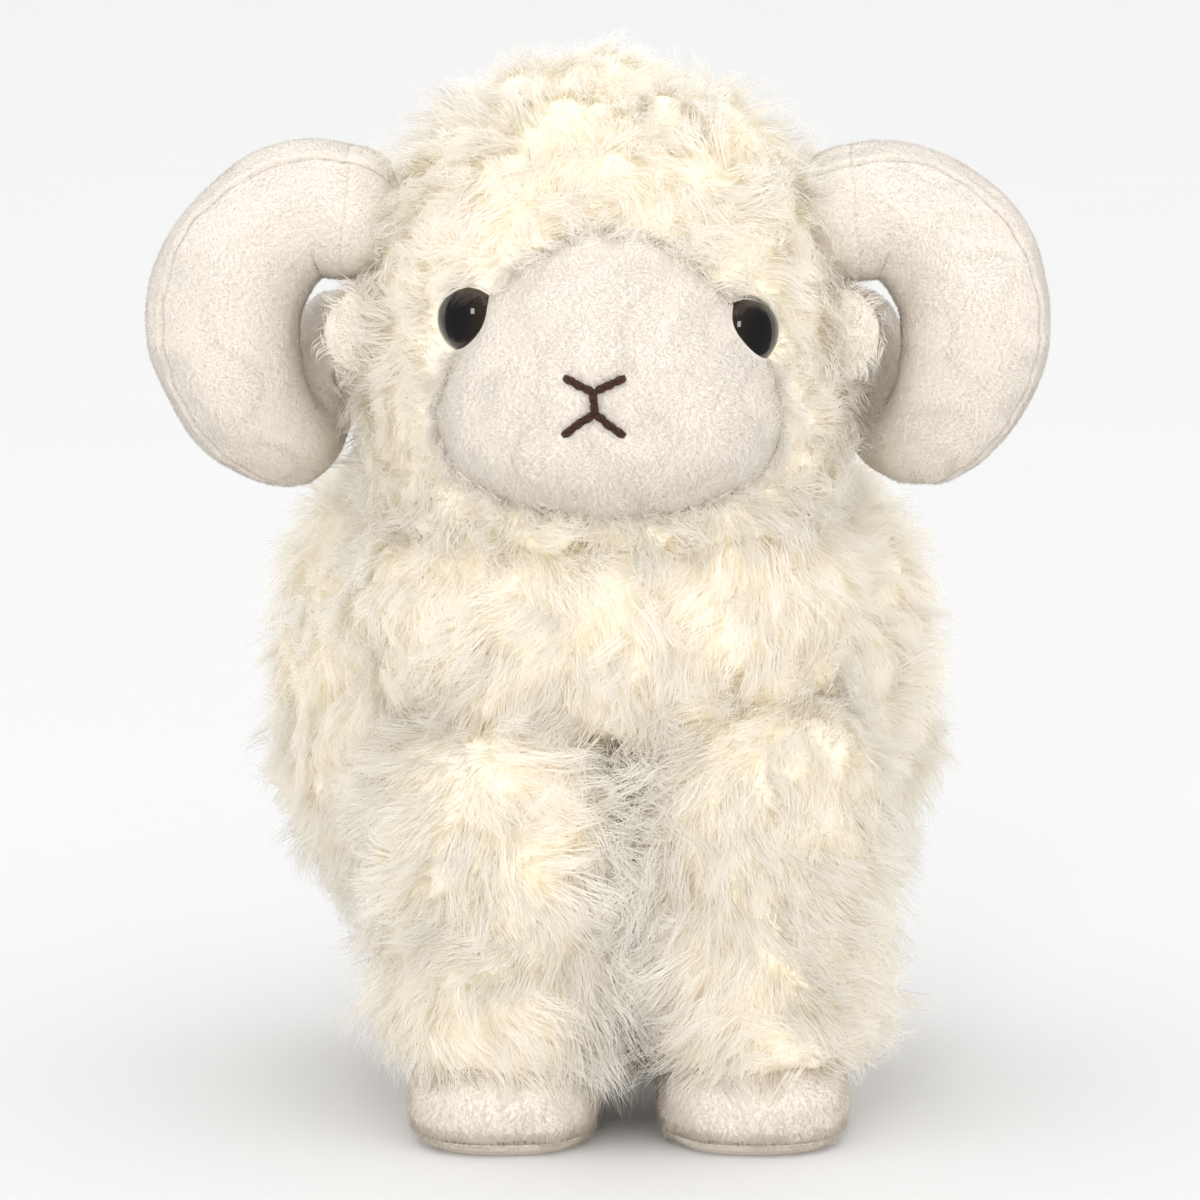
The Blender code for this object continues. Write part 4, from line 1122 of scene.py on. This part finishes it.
def build_ears(looks):
    """Small cupped woolly ears inside the horns' curls: a half disc that bends back, thick at its middle."""
    depth, height = HEAD[0][1] - EAR_FORWARD, HORN_CENTRE[2]
    level = np.linspace(-1, 1, 26)
    width = np.sqrt(np.clip(1 - level**2, 0, 1))[:, None]
    angle = np.linspace(0, 2 * math.pi, 40, endpoint=False)
    out, thick = 0.5 * (1 - np.cos(angle)), 0.5 * np.sin(angle)
    for side, word in SIDES:
        grid = np.zeros((26, 40, 3))
        root = HEAD[0][0] + side * head_side(depth, height)
        grid[..., 0] = root + side * (EAR_REACH * width * out - 0.0010 * width)
        grid[..., 1] = depth - 0.0018 * (out * width) ** 2 + 0.0036 * width * thick
        grid[..., 2] = height + EAR_HALF_HEIGHT * level[:, None]
        ear = word + "_ear"
        make_skin(ear + "_cloth", grid, looks["plush"], (ear,), ear)
        pile = grow_pile(grid if grid_outward(grid) else grid[:, ::-1], EAR_FLEECE, 600 + side)
        make_pile(ear + "_wool", [pile], looks["wool"], ear, 0.00026)


def grid_outward(grid):
    """True if a ring grid's own normals point away from its middle."""
    normal = grid_normals(grid)[0]
    return ((grid - grid.mean(axis=(0, 1))) * normal).sum() > 0


def horn_surface(side):
    """One horn as rings from root to tip, with column 0 on the seam and closer columns near it.

    The seam runs on the outer edge, turned towards the viewer. The cloth dips at the seam, swells beside
    it, and each stitch draws it in a little further.
    """
    rows = smooth_rows(HORN_COURSE, 170)
    path = (np.array(HORN_CENTRE) + rows[:, :3] * HORN_ROUND) * [side, 1, 1]
    radii = HORN_THICKNESS * rows[:, 3]
    along = unit(np.gradient(path, axis=0))
    turn = np.linspace(0, math.pi / 2, 9)
    start = path[0] - (radii[0] * np.cos(turn))[:-1, None] * along[0]
    finish = path[-1] + (radii[-1] * np.sin(turn))[1:, None] * along[-1]
    full = np.vstack([start, path, finish])
    size = np.concatenate([radii[0] * np.sin(turn)[:-1], radii, radii[-1] * np.cos(turn)[1:]])
    along = np.vstack([np.tile(along[0], (8, 1)), along, np.tile(along[-1], (8, 1))])
    middle = np.array(HORN_CENTRE) * [side, 1, 1]
    out = full - middle
    out[:, 1] = 0
    seam = along_surface(0.80 * unit(out) - 0.60 * BACK, along)
    cross = np.cross(along, seam)
    share = np.linspace(-1, 1, HORN_AROUND, endpoint=False)
    angle = np.roll(math.pi * signed_power(share, 1.5), -(HORN_AROUND // 2))
    run = np.concatenate([[0], np.cumsum(np.linalg.norm(np.diff(full, axis=0), axis=1))])
    arc = np.abs(angle)[None, :] * size[:, None]
    stitch = 0.5 + 0.5 * np.cos(2 * math.pi * run / HORN_STITCH)[:, None]
    dip = (0.00055 + 0.00040 * stitch**3) * bell(arc, 0.00055)
    swell = 0.00030 * bell(arc - 0.0017, 0.0011) * (1 - 0.25 * stitch)
    pull = 0.00022 * np.cos(2 * math.pi * run / (2 * HORN_STITCH))[:, None] * bell(arc, 0.0045)
    radius = size[:, None] + (swell - dip + pull) * np.clip(size / 0.006, 0, 1)[:, None]
    spread = np.cos(angle)[None, :, None] * seam[:, None, :] + np.sin(angle)[None, :, None] * cross[:, None, :]
    grid = full[:, None, :] + radius[..., None] * spread
    return grid if grid_outward(grid) else np.roll(grid[:, ::-1], 1, axis=1)


def build_horns(looks):
    """Both horns in short plush, sewn along the outer edge, with their nap."""
    hood = Form(HEAD, -HOOD_INSET)
    for index, (side, word) in enumerate(SIDES):
        horn = word + "_horn"
        grid = lumpy(horn_surface(side), 0.0005, 0.022, 50 + index)
        replaced = (horn + "_cover", horn + "_stuffing")
        make_skin(horn + "_plush", grid, looks["plush"], replaced, horn)
        nap = grow_nap(grid, 5.5e6, 520 + index, lambda root, normal: hood.ratio(root) > 1.0, 1.0)
        make_pile(horn + "_nap", [nap], looks["nap"], horn, NAP_WIDTH)


# Stage: reach of the floor, light of the world on matt and on glossy surfaces, and bounces in white wool

FLOOR_REACH = 40.0
WORLD_LIGHT = 1.40
WORLD_SHINE = 0.20
LIGHT_BOUNCES = 20


def place_item(name, data, place):
    """A lamp or camera at a place, with its -Z axis towards the camera's target."""
    item = bpy.data.objects.new(name, data)
    item.location = place
    item.rotation_euler = (Vector(CAMERA_TARGET) - Vector(place)).to_track_quat("-Z", "Y").to_euler()
    bpy.context.scene.collection.objects.link(item)
    return item


def add_lamp(name, kind, place, power, **settings):
    """A lamp that faces the toy."""
    lamp = bpy.data.lights.new(name, kind)
    lamp.energy = power
    for key, value in settings.items():
        setattr(lamp, key, value)
    return place_item(name, lamp, place)


def build_stage():
    """Pale floor, white surroundings, soft lamps and the camera of the photograph."""
    material, tree, shader = new_material("pale_floor")
    greys = (0.3, (0.656, 0.656, 0.660)), (0.7, (0.662, 0.662, 0.666))
    feed(tree, shader, {"Base Color": ramp(tree, noise(tree, 3.0, 2.0), *greys), "Roughness": 0.9})
    points = FLOOR_REACH * np.array([(-1, -1, 0), (1, -1, 0), (1, 1, 0), (-1, 1, 0)], dtype=float)
    floor = make_piece("floor", points, np.array([(0, 1, 2), (0, 2, 3)]), material, smooth=False)
    floor.visible_glossy = False

    scene = bpy.context.scene
    scene.world = bpy.data.worlds.new("studio")
    scene.world.use_nodes = True
    tree = scene.world.node_tree
    strength = between(tree, wire(tree, "LightPath")["Is Glossy Ray"], WORLD_LIGHT, WORLD_SHINE)
    feed(tree, tree.nodes["Background"], {"Color": (1.0, 1.0, 1.0, 1.0), "Strength": strength})
    scene.view_settings.view_transform = "Standard"
    cycles = scene.cycles
    cycles.max_bounces = cycles.diffuse_bounces = cycles.transmission_bounces = LIGHT_BOUNCES
    key = add_lamp("key", "SUN", (0.2, -1.6, 1.5), 0.44, angle=math.radians(80.0))
    strip = dict(shape="RECTANGLE", size=1.40, size_y=0.05, color=(1.0, 0.90, 0.75))
    fill = add_lamp("fill", "AREA", (0.05, -1.0, 0.03), 2.7, **strip)
    key.visible_glossy = fill.visible_glossy = False
    add_lamp("window", "AREA", (-0.30, -2.0, 1.1), 6.0, shape="RECTANGLE", size=0.45, size_y=0.65)

    camera = bpy.data.cameras.new("camera")
    camera.lens = CAMERA_LENS
    camera.sensor_width = CAMERA_SENSOR
    camera.clip_end = 50.0
    back = np.array([0.0, -math.cos(CAMERA_LEVEL), math.sin(CAMERA_LEVEL)])
    scene.camera = place_item("camera", camera, np.array(CAMERA_TARGET) + CAMERA_DISTANCE * back)


def build_looks():
    """All materials of the toy."""
    tint, grain = pile_tint_and_shade_group(), grain_group()
    # Wool colours of root, middle and tip: the darker, yellower root is painted warm shade in the partings
    # between tufts
    wool = (0.972, 0.912, 0.765), (0.988, 0.968, 0.922), (0.992, 0.977, 0.950)
    nap = (0.685, 0.633, 0.570), (0.715, 0.677, 0.627), (0.745, 0.710, 0.665)
    # Nap of the feet: a darker, warmer copy of the plush nap, painted shade under the body
    shaded_foot_nap = (0.670, 0.615, 0.530), (0.700, 0.650, 0.580), (0.730, 0.685, 0.620)
    # Backing cloth darker and yellower than the wool: painted shade where it shows in the partings
    backing = (0.900, 0.840, 0.710), (0.930, 0.880, 0.770)
    plush = (0.695, 0.643, 0.583), (0.710, 0.663, 0.608)
    return {
        "wool": pile_material("wool_fibre", tint, *wool, 0.02, 0.60),
        "nap": pile_material("plush_nap", tint, *nap, 0.03, 0.40),
        "shaded_foot_nap": pile_material("shaded_foot_nap", tint, *shaded_foot_nap, 0.03, 0.40),
        "backing": cloth_material("wool_backing_painted_shade", grain, *backing, 900.0, 0.6, 0.1),
        "plush": cloth_material("plush_skin", grain, *plush, 1400.0, 0.5, 0.15),
        "eye": eye_material(),
        "thread": thread_material(),
        "washer": washer_material(),
    }


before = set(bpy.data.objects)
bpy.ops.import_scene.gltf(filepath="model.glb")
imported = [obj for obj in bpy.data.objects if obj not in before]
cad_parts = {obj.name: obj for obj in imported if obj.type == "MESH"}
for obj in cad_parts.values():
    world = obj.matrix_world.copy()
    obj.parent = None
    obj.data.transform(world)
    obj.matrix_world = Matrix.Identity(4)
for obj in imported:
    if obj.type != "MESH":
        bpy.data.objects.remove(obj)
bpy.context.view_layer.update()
looks = build_looks()
build_stage()
build_coat(looks)
build_legs(looks)
build_tail(looks)
build_hood(looks)
build_face(looks)
build_eyes(looks)
build_mouth(looks)
build_ears(looks)
build_horns(looks)
